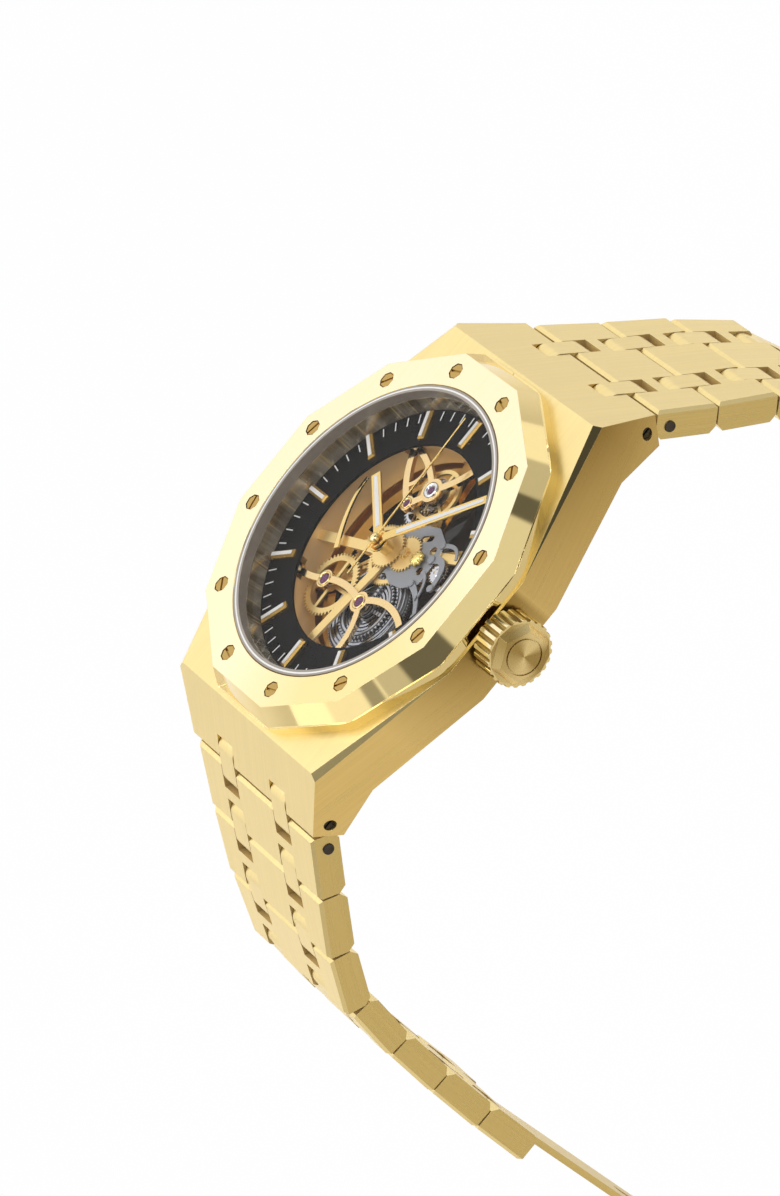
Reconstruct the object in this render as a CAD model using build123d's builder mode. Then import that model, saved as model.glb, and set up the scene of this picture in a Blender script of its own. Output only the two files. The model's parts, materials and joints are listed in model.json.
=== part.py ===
from build123d import *
import os
from math import atan2, cos, degrees, hypot, radians, sin

# Skeleton wristwatch on a five-piece folding bracelet.  Millimetres.
# Origin: centre of the case back's outer face.  +Z out of the dial, +Y to 12 o'clock, +X to the crown.

# ---------------------------------------------------------------- case and bezel
CASE_HALF_X = 21.5          # flat flank at 3 and 9 o'clock
FLANK_HALF_Y = 5.6          # half length of that flat
CASE_TOP_Z = 7.2
CASE_BOTTOM_Z = 2.06
SLOPE_TOP_Y = 21.7          # crease where the top flat turns down to the lug
LUG_TIP_X = 13.3
LUG_TIP_Y = 26.5
LUG_TIP_Z = 1.4
LUG_UNDER = (24.45, -0.75)
CASE_BEND = (19.2, 1.5)
CREASE_X = 14.3             # inner end of the polished corner bevel on the crease
BEVEL_OUTER = (15.02, 22.12, 6.69)    # where that bevel meets the slope and the flank
CASE_BORE_R = 17.0
BACK_R = 19.0
BACK_OPENING_R = 13.55
BACK_LIP = (13.6, 12.9, 1.02, 0.5)    # outer and inner radius, underside and thickness of the glass's lip
BACK_SCREW_R = 18.05
BACK_SCREWS = 6
BACK_SHANK_R = 0.4
BACK_HEAD_R = 0.7
BACK_HEAD_Z = 0.35
BACK_HEAD_H = 0.5
BACK_NOTCH_R = 16.4
BEZEL_SIDES = 12
BEZEL_BAND_R = 22.0
BEZEL_BAND_H = 1.1
BEZEL_BEVEL_R = 21.8
BEZEL_TOP_R = 20.6
BEZEL_TOP_Z = 10.4
BEZEL_BORE_R = 16.25
GASKET_R = 16.7
GASKET_SEAT_Z = 9.2
SCREW_CIRCLE_R = 18.54
SCREW_HEAD_R = 0.82
SCREW_SHANK_R = 0.45
SCREW_HEAD_DEPTH = 0.48
SCREW_SLOT = (0.24, 0.22)             # width and depth
SCREW_L = 4.5
CRYSTAL_R = 16.0
CRYSTAL_Z = 9.3
CRYSTAL_T = 1.3
FIT = 0.03                  # radial running clearance of pins and arbors

# ---------------------------------------------------------------- dial and hands
DIAL_Z = 6.95
DIAL_T = 0.35
DIAL_R = 16.15
DIAL_OPENING_R = 11.7
INDEX_IN_R = 12.2
INDEX_OUT_R = 15.5
INDEX_W = 0.9
INDEX_H = 0.55
HOUR_HAND_DEG = 304.0       # clockwise from 12
MINUTE_HAND_DEG = 46.0
SECOND_HAND_DEG = 357.0
HOUR_HAND_L = 9.15
MINUTE_HAND_L = 14.0
HOUR_HAND_W = 1.15
MINUTE_HAND_W = 0.95
SECOND_HAND_L = 14.85
SECOND_TAIL_L = 4.4
HOUR_HAND_Z = 7.95
MINUTE_HAND_Z = 8.3
SECOND_HAND_Z = 8.65

# ---------------------------------------------------------------- movement
MOVEMENT_R = 12.95
RING_BOTTOM_Z = 2.2
PLATE_WALL_R = 11.95
PLATE_BOTTOM_Z = 3.4
PLATE_TOP_Z = 6.85
WEB_Z = 5.72
WEB_T = 0.28
BRIDGE_Z = 6.02
BRIDGE_T = 0.5
BACK_BRIDGE_Z = 3.3
BACK_BRIDGE_T = 0.5
STEM_Z = 4.7
STEM_R = 0.45
TUBE_R = 1.6
CROWN_X = 22.1              # inner face of the crown
CROWN_L = 2.9
CROWN_R = 3.5
CROWN_FLUTES = 24
CAP_L = 0.8
WHEEL_T = 0.12
FOURTH_Z = 3.94             # undersides of the wheels, from the back of the movement up
THIRD_Z = 4.18
CENTRE_PINION_Z = 4.52
BARREL_Z = 4.55
ESCAPE_Z = 4.82
PALLET_Z = 5.0
WINDING_Z = 5.2
BALANCE_Z = 5.24
CENTRE_Z = 5.45
HAIRSPRING_Z = 5.64
MOTION_Z = 6.3
HOUR_WHEEL_Z = 6.54
WINDING_T = 0.18
BARREL_WALL = 0.25
CANNON_R = 0.45
SECONDS_ARBOR_R = 0.22
FOOT_R = 0.75
FOOT_SCREW_R = 0.3
FEET_DEG = (75, 128, -73, -30, -145)  # bridge feet round the plate's rim
BACK_FEET_DEG = (30, 100, 215, 300)
ROTOR_R = 12.5
ROTOR_RIM_R = 10.4
ROTOR_HUB_R = 1.9
ROTOR_Z = 2.45
ROTOR_T = 0.4
ROTOR_RIM_Z = 1.8
BARREL = (1.6, -5.85)
ESCAPE = (-2.6, 4.7)
BALANCE = (-0.7, 7.2)
BALANCE_R = 2.95
PALLET = (-0.35, 4.75)
THIRD = (-3.77, -1.0)
REDUCTION = (-5.4, -6.2)
MINUTE_WORK = (2.5, 0.7)

# ---------------------------------------------------------------- bracelet
PITCH = 7.4                 # pin to pin
PIN_TO_GAP = 1.7            # from a link's outer pin to the middle of the gap
HALF_GAP = 0.1
LINK_TOP = 1.7              # above the pin
LINK_BOTTOM = -1.3
END_BEVEL = 0.35
UNDERCUT = 0.7
SIDE_BEVEL = 0.35
PIN_R = 0.4
STUD_W = 3.2
STUD_SLACK = 0.1
STUD_END = 1.2
STUD_ROUND = 1.5
SLOT_DEPTH = 1.35           # slot end beyond the pin
HINGE_Y = 24.53
HINGE_Z = 1.25
LINK_WIDTHS = (25.4, 24.0, 22.2, 20.5, 19.0, 18.0, 18.0, 18.0)
STUD_OFFSETS = (5.8, 5.6, 5.3, 5.0, 4.9, 4.9, 4.9)
FALL_12 = (51.5, 49.5, 54.0, 77.0, 82.0, 86.0, 88.0)       # link angles below the horizontal, undone
FALL_6 = (54.5, 56.0, 62.0, 82.0, 86.0, 88.0, 90.0)
WORN_12 = (51.5, 49.5, 54.0, 77.0, 106.0, 134.0, 158.0)    # the same, closed round a wrist
WORN_6 = (54.5, 56.0, 62.0, 82.0, 108.0, 135.0, 159.0)
LUG_PIN_HALF = 13.65
LUG_HEAD_R = 0.6
LUG_HEAD_L = 1.1

# ---------------------------------------------------------------- clasp
COVER_FALL = 90.0
BLADE_FALL = 92.0
CLASP_W = 18.0
COVER_END = 46.9
COVER_UNDER = 0.55
FLANGE_T = 1.0
FLANGE_LOW = -0.9
BLADE_LOW = -0.75
BLADE_HIGH = -0.05
BLADE_PIN = 45.3
BLADE_TIP = 9.0
HOOK_TIP = 8.2
HOOK_ROOT = 9.1
HOOK_LOW = -1.3
RAIL_IN = 4.4
RAIL_OUT = 6.9
INNER_HALF = 3.7
BUTTON_S = 36.0
BUTTON_L = 4.0
BUTTON_H = 1.1
BUTTON_PROUD = 0.9

os.makedirs("parts", exist_ok=True)


def save(part, label):
    """Name a finished piece and write it."""
    part.label = label
    export_step(part, f"parts/{label}.step")


def clock(hour):
    """Angle of an hour from +X, in degrees."""
    return 90 - 30 * hour


def polar(radius, angle):
    return (radius * cos(radians(angle)), radius * sin(radians(angle)))


def bearing(start, end):
    return degrees(atan2(end[1] - start[1], end[0] - start[0]))


def span(start, end):
    return hypot(end[0] - start[0], end[1] - start[1])


def ring(outer, inner, z, height):
    """Plain flat ring about the dial axis."""
    with BuildPart() as piece:
        with BuildSketch(Plane.XY.offset(z)):
            Circle(outer)
            Circle(inner, mode=Mode.SUBTRACT)
        extrude(amount=height)
    return piece.part


def arm(start, end, width):
    """Straight arm between two points, drawn in the open sketch."""
    middle = ((start[0] + end[0]) / 2, (start[1] + end[1]) / 2)
    with Locations(Location((middle[0], middle[1], 0), (0, 0, bearing(start, end)))):
        Rectangle(span(start, end), width)


def bow(start, middle, end, width):
    """Curved arm of even width through three points, drawn in the open sketch."""
    with BuildLine() as path:
        ThreePointArc(start, middle, end)
    trace(path.line, line_width=width)


# ================================================================ case
def case_profile(side):
    """Outline points of one half of the case, seen from 3 o'clock."""
    return [
        (side * SLOPE_TOP_Y, CASE_TOP_Z),
        (side * LUG_TIP_Y, LUG_TIP_Z),
        (side * LUG_UNDER[0], LUG_UNDER[1]),
        (side * CASE_BEND[0], CASE_BEND[1]),
        (side * FLANK_HALF_Y, CASE_BOTTOM_Z),
    ]


def link_plane(side, pivot, fall):
    """Side-view plane of a link: x along the link, y outwards, normal across the strap."""
    a = radians(fall)
    return Plane(origin=(0, pivot[0], pivot[1]), x_dir=(0, side * cos(a), -sin(a)), z_dir=(side, 0, 0))


def pivots(side, falls):
    """Pin centres (y, z) down one half of the bracelet."""
    y, z = side * HINGE_Y, HINGE_Z
    points = [(y, z)]
    for fall in falls:
        y += side * PITCH * cos(radians(fall))
        z -= PITCH * sin(radians(fall))
        points.append((y, z))
    return points


PIVOTS_12 = pivots(1, FALL_12)
PIVOTS_6 = pivots(-1, FALL_6)
CLASP_SPAN = span(pivots(1, WORN_12)[-1], pivots(-1, WORN_6)[-1])


def cut_slots(plane, start, end, offsets, width):
    """Through slots along a link for the connecting studs, in the open part."""
    for offset in offsets:
        with BuildSketch(plane.offset(offset - width / 2)) as outline:
            with Locations(((start + end) / 2, 0)):
                Rectangle(end - start, 8)
        extrude(outline.sketch, amount=width, mode=Mode.SUBTRACT)


def cut_cross_hole(plane, along, up, radius, half):
    """Round hole across a link, in the open part."""
    with BuildSketch(plane.offset(-half)) as outline:
        with Locations((along, up)):
            Circle(radius)
    extrude(outline.sketch, amount=2 * half, mode=Mode.SUBTRACT)


with BuildPart() as case_middle:
    with BuildSketch(Plane.YZ.offset(-CASE_HALF_X)):
        Polygon(*case_profile(1), *reversed(case_profile(-1)), align=None)
    extrude(amount=2 * CASE_HALF_X)
    flank = [(CASE_HALF_X, FLANK_HALF_Y), (LUG_TIP_X, LUG_TIP_Y), (LUG_TIP_X - 0.6, LUG_TIP_Y + 2)]
    plan = flank + [(-x, y) for x, y in reversed(flank)]
    plan += [(-x, -y) for x, y in flank] + [(x, -y) for x, y in reversed(flank)]
    with BuildSketch(Plane.XY.offset(LUG_UNDER[1] - 1)):
        Polygon(*plan, align=None)
    extrude(amount=CASE_TOP_Z + 3, mode=Mode.INTERSECT)
    # polished bevel: widest at the lug crease, running out to nothing at the flat flank
    for sx in (1, -1):
        for sy in (1, -1):
            run_out = Vector(sx * CASE_HALF_X, sy * FLANK_HALF_Y, CASE_TOP_Z)
            crease = Vector(sx * CREASE_X, sy * SLOPE_TOP_Y, CASE_TOP_Z)
            outer = Vector(sx * BEVEL_OUTER[0], sy * BEVEL_OUTER[1], BEVEL_OUTER[2])
            normal = (crease - run_out).cross(outer - crease)
            if normal.Z < 0:
                normal = -normal
            split(bisect_by=Plane(origin=crease, z_dir=normal), keep=Keep.BOTTOM)
    with Locations((0, 0, CASE_TOP_Z)):
        Hole(CASE_BORE_R)
    with BuildSketch(Plane.XY.offset(CASE_BOTTOM_Z)):
        Circle(BACK_R + 0.1)
    extrude(amount=-4, mode=Mode.SUBTRACT)
    # tapped holes for the bezel screws, and for the case-back screws below
    with BuildSketch(Plane.XY.offset(CASE_TOP_Z)):
        with PolarLocations(SCREW_CIRCLE_R, BEZEL_SIDES, start_angle=15):
            Circle(SCREW_SHANK_R + FIT)
    extrude(amount=-2, mode=Mode.SUBTRACT)
    with BuildSketch(Plane.XY.offset(CASE_BOTTOM_Z)):
        with PolarLocations(BACK_SCREW_R, BACK_SCREWS, start_angle=30):
            Circle(BACK_SHANK_R + FIT)
    extrude(amount=1.6, mode=Mode.SUBTRACT)
    # crown tube bore
    with BuildSketch(Plane.YZ.offset(CASE_BORE_R - 3)):
        with Locations((0, STEM_Z)):
            Circle(TUBE_R + FIT)
    extrude(amount=12, mode=Mode.SUBTRACT)
    for side, falls in ((1, FALL_12), (-1, FALL_6)):
        lug_plane = link_plane(side, (side * HINGE_Y, HINGE_Z), falls[0])
        cut_slots(lug_plane, -SLOT_DEPTH, 4, (STUD_OFFSETS[0], -STUD_OFFSETS[0]), STUD_W + 2 * STUD_SLACK)
        cut_cross_hole(lug_plane, 0, 0, PIN_R + FIT, CASE_HALF_X)
        for end in (1, -1):
            with BuildSketch(lug_plane.offset(end * (LUG_PIN_HALF - LUG_HEAD_L - FIT))):
                Circle(LUG_HEAD_R + FIT)
            extrude(amount=end * 3, mode=Mode.SUBTRACT)
save(case_middle.part, "case_middle")

with BuildPart() as lug_screws:
    for side in (1, -1):
        lug_plane = link_plane(side, (side * HINGE_Y, HINGE_Z), 0)
        with BuildSketch(lug_plane.offset(-LUG_PIN_HALF + LUG_HEAD_L)):
            Circle(PIN_R)
        extrude(amount=2 * (LUG_PIN_HALF - LUG_HEAD_L))
        for end in (1, -1):
            with BuildSketch(lug_plane.offset(end * (LUG_PIN_HALF - LUG_HEAD_L))):
                Circle(LUG_HEAD_R)
            extrude(amount=end * LUG_HEAD_L)
            with BuildSketch(lug_plane.offset(end * LUG_PIN_HALF)):
                Rectangle(2 * LUG_HEAD_R, 0.22)
            extrude(amount=-end * 0.3, mode=Mode.SUBTRACT)
save(lug_screws.part, "lug_screws")

with BuildPart() as bezel:
    with BuildSketch(Plane.XY.offset(CASE_TOP_Z)):
        RegularPolygon(BEZEL_BAND_R, BEZEL_SIDES, rotation=15)
    extrude(amount=BEZEL_BAND_H)
    fillet(bezel.edges().filter_by(Axis.Z), radius=5)
    with BuildSketch(Plane.XY.offset(CASE_TOP_Z + BEZEL_BAND_H)):
        RegularPolygon(BEZEL_BEVEL_R, BEZEL_SIDES, rotation=15)
    with BuildSketch(Plane.XY.offset(BEZEL_TOP_Z)):
        RegularPolygon(BEZEL_TOP_R, BEZEL_SIDES, rotation=15)
    loft(ruled=True)
    with Locations((0, 0, BEZEL_TOP_Z)):
        CounterBoreHole(BEZEL_BORE_R, GASKET_R, BEZEL_TOP_Z - GASKET_SEAT_Z)
    chamfer(bezel.edges().filter_by(GeomType.CIRCLE).group_by(Axis.Z)[-1], 0.12)
    with BuildSketch(Plane.XY.offset(BEZEL_TOP_Z)):
        for k in range(BEZEL_SIDES):
            angle = 15 + 30 * k
            with Locations(Location((*polar(SCREW_CIRCLE_R, angle), 0), (0, 0, angle + 22.5))):
                RegularPolygon(SCREW_HEAD_R + 0.1, 8)
    extrude(amount=-0.5, mode=Mode.SUBTRACT)
    with BuildSketch(Plane.XY.offset(BEZEL_TOP_Z)):
        with PolarLocations(SCREW_CIRCLE_R, BEZEL_SIDES, start_angle=15):
            Circle(SCREW_SHANK_R + FIT)
    extrude(amount=-5, mode=Mode.SUBTRACT)
save(bezel.part, "bezel")

with BuildPart() as bezel_screws:
    for k in range(BEZEL_SIDES):
        angle = 15 + 30 * k
        where = Location((*polar(SCREW_CIRCLE_R, angle), 0), (0, 0, angle + 22.5))
        with BuildSketch(Plane.XY.offset(BEZEL_TOP_Z - SCREW_HEAD_DEPTH)):
            with Locations(where):
                RegularPolygon(SCREW_HEAD_R, 8)
        extrude(amount=SCREW_HEAD_DEPTH - 0.06)
        with BuildSketch(Plane.XY.offset(BEZEL_TOP_Z - 0.06)):
            with Locations(Location((*polar(SCREW_CIRCLE_R, angle), 0), (0, 0, angle))):
                Rectangle(SCREW_SLOT[0], 2 * SCREW_HEAD_R)
        extrude(amount=-SCREW_SLOT[1], mode=Mode.SUBTRACT)
        with BuildSketch(Plane.XY.offset(BEZEL_TOP_Z - SCREW_HEAD_DEPTH)):
            with Locations(where):
                Circle(SCREW_SHANK_R)
        extrude(amount=-SCREW_L)
save(bezel_screws.part, "bezel_screws")

with BuildPart() as crystal:
    with BuildSketch(Plane.XY.offset(CRYSTAL_Z)):
        Circle(CRYSTAL_R)
    extrude(amount=CRYSTAL_T)
    chamfer(crystal.edges().group_by(Axis.Z)[-1], 0.18)
save(crystal.part, "crystal")
save(ring(GASKET_R - 0.02, CRYSTAL_R + 0.03, GASKET_SEAT_Z + 0.01, 1.22), "crystal_gasket")

with BuildPart() as flange_ring:
    with BuildSketch(Plane.XZ):
        Polygon((15.72, 7.32), (16.2, 7.32), (16.2, GASKET_SEAT_Z), (15.95, GASKET_SEAT_Z), align=None)
    revolve(axis=Axis.Z)
save(flange_ring.part, "flange_ring")

# ================================================================ case back
with BuildPart() as case_back:
    with BuildSketch(Plane.XY):
        Circle(BACK_R)
        Circle(BACK_OPENING_R, mode=Mode.SUBTRACT)
    extrude(amount=CASE_BOTTOM_Z - 0.01)
    chamfer(case_back.edges().group_by(Axis.Z)[0].sort_by(SortBy.RADIUS)[-1], 0.5)
    with BuildSketch(Plane.XY.offset(BACK_LIP[2])):
        Circle(BACK_LIP[0])
        Circle(BACK_LIP[1], mode=Mode.SUBTRACT)
    extrude(amount=BACK_LIP[3])
    with BuildSketch(Plane.XY):
        with PolarLocations(BACK_SCREW_R, BACK_SCREWS, start_angle=30):
            Circle(BACK_SHANK_R + FIT)
    extrude(amount=3, mode=Mode.SUBTRACT)
    with BuildSketch(Plane.XY):
        with PolarLocations(BACK_SCREW_R, BACK_SCREWS, start_angle=30):
            Circle(BACK_HEAD_R + 0.02 + FIT)
    extrude(amount=0.9, mode=Mode.SUBTRACT)
    # six key notches in the outer face
    with BuildSketch(Plane.XY):
        with PolarLocations(BACK_NOTCH_R, 6):
            Rectangle(0.9, 1.8)
    extrude(amount=0.5, mode=Mode.SUBTRACT)
save(case_back.part, "case_back")

with BuildPart() as case_back_crystal:
    with BuildSketch(Plane.XY):
        Circle(BACK_OPENING_R - 0.05)
    extrude(amount=1.0)
save(case_back_crystal.part, "case_back_crystal")

with BuildPart() as case_back_screws:
    for point in [polar(BACK_SCREW_R, 30 + 60 * k) for k in range(BACK_SCREWS)]:
        with BuildSketch(Plane.XY.offset(BACK_HEAD_Z)):
            with Locations(point):
                Circle(BACK_HEAD_R)
        extrude(amount=BACK_HEAD_H)
        with BuildSketch(Plane.XY.offset(BACK_HEAD_Z)):
            with Locations(point):
                Rectangle(2 * BACK_HEAD_R, 0.2)
        extrude(amount=0.2, mode=Mode.SUBTRACT)
        with BuildSketch(Plane.XY.offset(BACK_HEAD_Z + BACK_HEAD_H)):
            with Locations(point):
                Circle(BACK_SHANK_R)
        extrude(amount=2.6)
save(case_back_screws.part, "case_back_screws")

# ================================================================ dial
save(ring(DIAL_R, DIAL_OPENING_R, DIAL_Z, DIAL_T), "dial_ring")

with BuildPart() as hour_indices:
    for hour in range(12):
        length = INDEX_OUT_R - INDEX_IN_R
        middle = polar((INDEX_IN_R + INDEX_OUT_R) / 2, clock(hour))
        with BuildSketch(Plane.XY.offset(DIAL_Z + DIAL_T)):
            with Locations(Location((*middle, 0), (0, 0, clock(hour)))):
                Rectangle(length, INDEX_W)
        extrude(amount=INDEX_H)
    chamfer(hour_indices.faces().group_by(Axis.Z)[-1].edges(), 0.2)
save(hour_indices.part, "hour_indices")


# ================================================================ hands
def hand(angle_deg, tip, tail, width, z, thick, hub, bore):
    """Straight baton hand with a round hub."""
    turn = 90 - angle_deg
    with BuildPart() as piece:
        with BuildSketch(Plane.XY.offset(z)):
            arm(polar(-tail, turn), polar(tip, turn), width)
            Circle(hub)
            if bore:
                Circle(bore, mode=Mode.SUBTRACT)
        extrude(amount=thick)
    return piece.part


save(hand(HOUR_HAND_DEG, HOUR_HAND_L, 0, HOUR_HAND_W, HOUR_HAND_Z, 0.2, 1.15, 0.75 + FIT), "hour_hand")
save(hand(MINUTE_HAND_DEG, MINUTE_HAND_L, 0, MINUTE_HAND_W, MINUTE_HAND_Z, 0.2, 0.95, 0.45 + FIT), "minute_hand")
save(hand(SECOND_HAND_DEG, SECOND_HAND_L, SECOND_TAIL_L, 0.16, SECOND_HAND_Z, 0.14, 0.6, 0), "second_hand")


# ================================================================ gears
def teeth_outline(teeth, pitch_r, phase):
    """Closed outline of a spur wheel; phase is the angle of one tooth's middle."""
    module = 2 * pitch_r / teeth
    root = pitch_r - 1.15 * module
    tip = pitch_r + 0.8 * module
    step = 360 / teeth
    points = []
    for k in range(teeth):
        middle = phase + k * step
        points.append(polar(root, middle - 0.30 * step))
        points.append(polar(tip, middle - 0.10 * step))
        points.append(polar(tip, middle + 0.10 * step))
        points.append(polar(root, middle + 0.30 * step))
    return points


SPOKE_W = 0.4


def add_gear(centre, z, thick, teeth, pitch_r, phase=0.0, rim=0.0, hub=0.0, spokes=0, bore=0.0):
    """Toothed wheel in the open part, pierced between rim and hub when it has spokes."""
    with BuildSketch(Plane.XY.offset(z)) as outline:
        with Locations(centre):
            Polygon(*teeth_outline(teeth, pitch_r, phase), align=None)
            if spokes:
                Circle(rim, mode=Mode.SUBTRACT)
                Circle(hub)
                with PolarLocations((rim + hub) / 2, spokes, start_angle=phase):
                    Rectangle(rim - hub + 0.3, SPOKE_W)
            if bore:
                Circle(bore, mode=Mode.SUBTRACT)
    extrude(outline.sketch, amount=thick)


def add_rod(centre, z, height, radius, bore=0.0):
    """Round arbor or pipe in the open part."""
    with BuildSketch(Plane.XY.offset(z)) as outline:
        with Locations(centre):
            Circle(radius)
            if bore:
                Circle(bore, mode=Mode.SUBTRACT)
    extrude(outline.sketch, amount=height)


def mesh_phase(centre, other, teeth):
    """Phase that puts a gap of this wheel on the line to its mate's tooth."""
    return bearing(centre, other) + 180 / teeth


# ================================================================ going train
CENTRE = (0, 0)
BARREL_TEETH = 90
CENTRE_PINION = 15
CENTRE_TEETH = 64
THIRD_PINION = 8
THIRD_TEETH = 60
FOURTH_PINION = 8
FOURTH_TEETH = 80
ESCAPE_PINION = 8
WORK_TEETH = 30
WORK_PINION = 8
CANNON_TEETH = 10
HOUR_TEETH = 32
WINDING_TEETH = 48
SPRING_TURNS = 9
SPRING_STEP = 0.3
HAIR_TURNS = 6
HAIR_STEP = 0.22


def pitch_radius(distance, teeth, mate):
    return distance * teeth / (teeth + mate)


BARREL_D = span(CENTRE, BARREL)
THIRD_D = span(CENTRE, THIRD)
ESCAPE_D = span(CENTRE, ESCAPE)
WORK_D = span(CENTRE, MINUTE_WORK)
WINDING_R = span(BARREL, REDUCTION) / 2 - 0.01

with BuildPart() as barrel:
    barrel_r = pitch_radius(BARREL_D, BARREL_TEETH, CENTRE_PINION)
    phase = mesh_phase(BARREL, CENTRE, BARREL_TEETH)
    add_gear(BARREL, BARREL_Z, 0.3, BARREL_TEETH, barrel_r, phase, bore=0.75)
    add_rod(BARREL, BARREL_Z + 0.3, 0.29, barrel_r - 0.35, barrel_r - 0.35 - BARREL_WALL)
save(barrel.part, "barrel")

with BuildPart() as mainspring:
    for turn in range(SPRING_TURNS):
        add_rod(BARREL, BARREL_Z + 0.33, 0.24, 4.5 - SPRING_STEP * turn, 4.35 - SPRING_STEP * turn)
save(mainspring.part, "mainspring")

with BuildPart() as centre_wheel:
    pinion_r = pitch_radius(BARREL_D, CENTRE_PINION, BARREL_TEETH)
    add_gear(CENTRE, CENTRE_PINION_Z, 0.36, CENTRE_PINION, pinion_r, bearing(CENTRE, BARREL))
    centre_r = pitch_radius(THIRD_D, CENTRE_TEETH, THIRD_PINION)
    phase = mesh_phase(CENTRE, THIRD, CENTRE_TEETH)
    add_gear(CENTRE, CENTRE_Z, WHEEL_T, CENTRE_TEETH, centre_r, phase, 2.9, 0.9, 5)
    add_rod(CENTRE, CENTRE_PINION_Z + 0.36, 3.62, CANNON_R)
    cannon_r = pitch_radius(WORK_D, CANNON_TEETH, WORK_TEETH)
    add_gear(CENTRE, MOTION_Z, 0.18, CANNON_TEETH, cannon_r, bearing(CENTRE, MINUTE_WORK))
    add_rod(CENTRE, CENTRE_PINION_Z - 0.12, 0.12, CANNON_R)
    with BuildSketch(Plane.XY.offset(4.3)):
        Circle(SECONDS_ARBOR_R + FIT)
    extrude(amount=4.5, mode=Mode.SUBTRACT)
save(centre_wheel.part, "centre_wheel")

with BuildPart() as third_wheel:
    third_r = pitch_radius(THIRD_D, THIRD_TEETH, FOURTH_PINION)
    phase = mesh_phase(THIRD, CENTRE, THIRD_TEETH)
    add_gear(THIRD, THIRD_Z, WHEEL_T, THIRD_TEETH, third_r, phase, 2.9, 0.75, 5)
    add_rod(THIRD, THIRD_Z + WHEEL_T, 1.1, 0.28)
    third_pinion_r = pitch_radius(THIRD_D, THIRD_PINION, CENTRE_TEETH)
    add_gear(THIRD, THIRD_Z + WHEEL_T + 1.1, 0.22, THIRD_PINION, third_pinion_r, bearing(THIRD, CENTRE))
save(third_wheel.part, "third_wheel")

with BuildPart() as fourth_wheel:
    fourth_r = pitch_radius(ESCAPE_D, FOURTH_TEETH, ESCAPE_PINION)
    phase = mesh_phase(CENTRE, ESCAPE, FOURTH_TEETH)
    add_gear(CENTRE, FOURTH_Z, WHEEL_T, FOURTH_TEETH, fourth_r, phase, 4.35, 0.8, 5)
    fourth_pinion_r = pitch_radius(THIRD_D, FOURTH_PINION, THIRD_TEETH)
    add_gear(CENTRE, FOURTH_Z + WHEEL_T, 0.3, FOURTH_PINION, fourth_pinion_r, bearing(CENTRE, THIRD))
    arbor_z = FOURTH_Z + WHEEL_T + 0.3
    add_rod(CENTRE, arbor_z, SECOND_HAND_Z - arbor_z - 0.01, SECONDS_ARBOR_R)
save(fourth_wheel.part, "fourth_wheel")

with BuildPart() as escape_wheel:
    escape_pinion_r = pitch_radius(ESCAPE_D, ESCAPE_PINION, FOURTH_TEETH)
    add_gear(ESCAPE, 3.9, 0.3, ESCAPE_PINION, escape_pinion_r, bearing(ESCAPE, CENTRE))
    add_rod(ESCAPE, 4.2, ESCAPE_Z - 4.2, 0.24)
    with BuildSketch(Plane.XY.offset(ESCAPE_Z)):
        with Locations(ESCAPE):
            # twenty raked club teeth
            outline = []
            for k in range(20):
                outline.append(polar(1.3, 18 * k))
                outline.append(polar(1.62, 18 * k + 7))
                outline.append(polar(1.62, 18 * k + 10))
                outline.append(polar(1.3, 18 * k + 8.5))
            Polygon(*outline, align=None)
            Circle(1.05, mode=Mode.SUBTRACT)
            Circle(0.4)
            with PolarLocations(0.7, 5):
                Rectangle(0.9, 0.16)
    extrude(amount=0.1)
    add_rod(ESCAPE, ESCAPE_Z + 0.1, 1.05, 0.12)
save(escape_wheel.part, "escape_wheel")

with BuildPart() as pallet_fork:
    toward_wheel = bearing(PALLET, ESCAPE)
    toward_balance = bearing(PALLET, BALANCE)
    arms = ((1.0, toward_wheel + 70, 0.22), (1.0, toward_wheel - 70, 0.22), (1.5, toward_balance, 0.2))
    with BuildSketch(Plane.XY.offset(PALLET_Z)):
        with Locations(PALLET):
            Circle(0.32)
        for reach, angle, width in arms:
            dx, dy = polar(reach, angle)
            arm(PALLET, (PALLET[0] + dx, PALLET[1] + dy), width)
    extrude(amount=WHEEL_T)
    add_rod(PALLET, 4.1, PALLET_Z - 4.1, 0.12)
    add_rod(PALLET, PALLET_Z + WHEEL_T, 0.08, 0.12)
save(pallet_fork.part, "pallet_fork")

with BuildPart() as balance_wheel:
    with BuildSketch(Plane.XY.offset(BALANCE_Z)):
        with Locations(BALANCE):
            Circle(BALANCE_R)
            Circle(BALANCE_R - 0.45, mode=Mode.SUBTRACT)
            with PolarLocations(BALANCE_R / 2 - 0.1, 3, start_angle=90):
                Rectangle(BALANCE_R - 0.3, 0.36)
            Circle(0.6)
    extrude(amount=0.3)
    add_rod(BALANCE, 4.0, BALANCE_Z - 4.0, 0.16)
    add_rod(BALANCE, BALANCE_Z + 0.3, 0.55, 0.16)
save(balance_wheel.part, "balance_wheel")

with BuildPart() as hairspring:
    for turn in range(HAIR_TURNS):
        add_rod(BALANCE, HAIRSPRING_Z, 0.14, 1.9 - HAIR_STEP * turn, 1.84 - HAIR_STEP * turn)
    with BuildSketch(Plane.XY.offset(HAIRSPRING_Z)):
        with Locations((BALANCE[0] + 1.2, BALANCE[1])):
            Rectangle(1.3, 0.1)
    extrude(amount=0.14)
save(hairspring.part, "hairspring")

with BuildPart() as minute_wheel:
    work_r = pitch_radius(WORK_D, WORK_TEETH, CANNON_TEETH)
    phase = mesh_phase(MINUTE_WORK, CENTRE, WORK_TEETH)
    add_gear(MINUTE_WORK, MOTION_Z, WHEEL_T, WORK_TEETH, work_r, phase, bore=0.3)
    work_pinion_r = pitch_radius(WORK_D, WORK_PINION, HOUR_TEETH)
    phase = mesh_phase(MINUTE_WORK, CENTRE, WORK_PINION)
    add_gear(MINUTE_WORK, MOTION_Z + WHEEL_T, 0.3, WORK_PINION, work_pinion_r, phase, bore=0.3)
save(minute_wheel.part, "minute_wheel")

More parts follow.
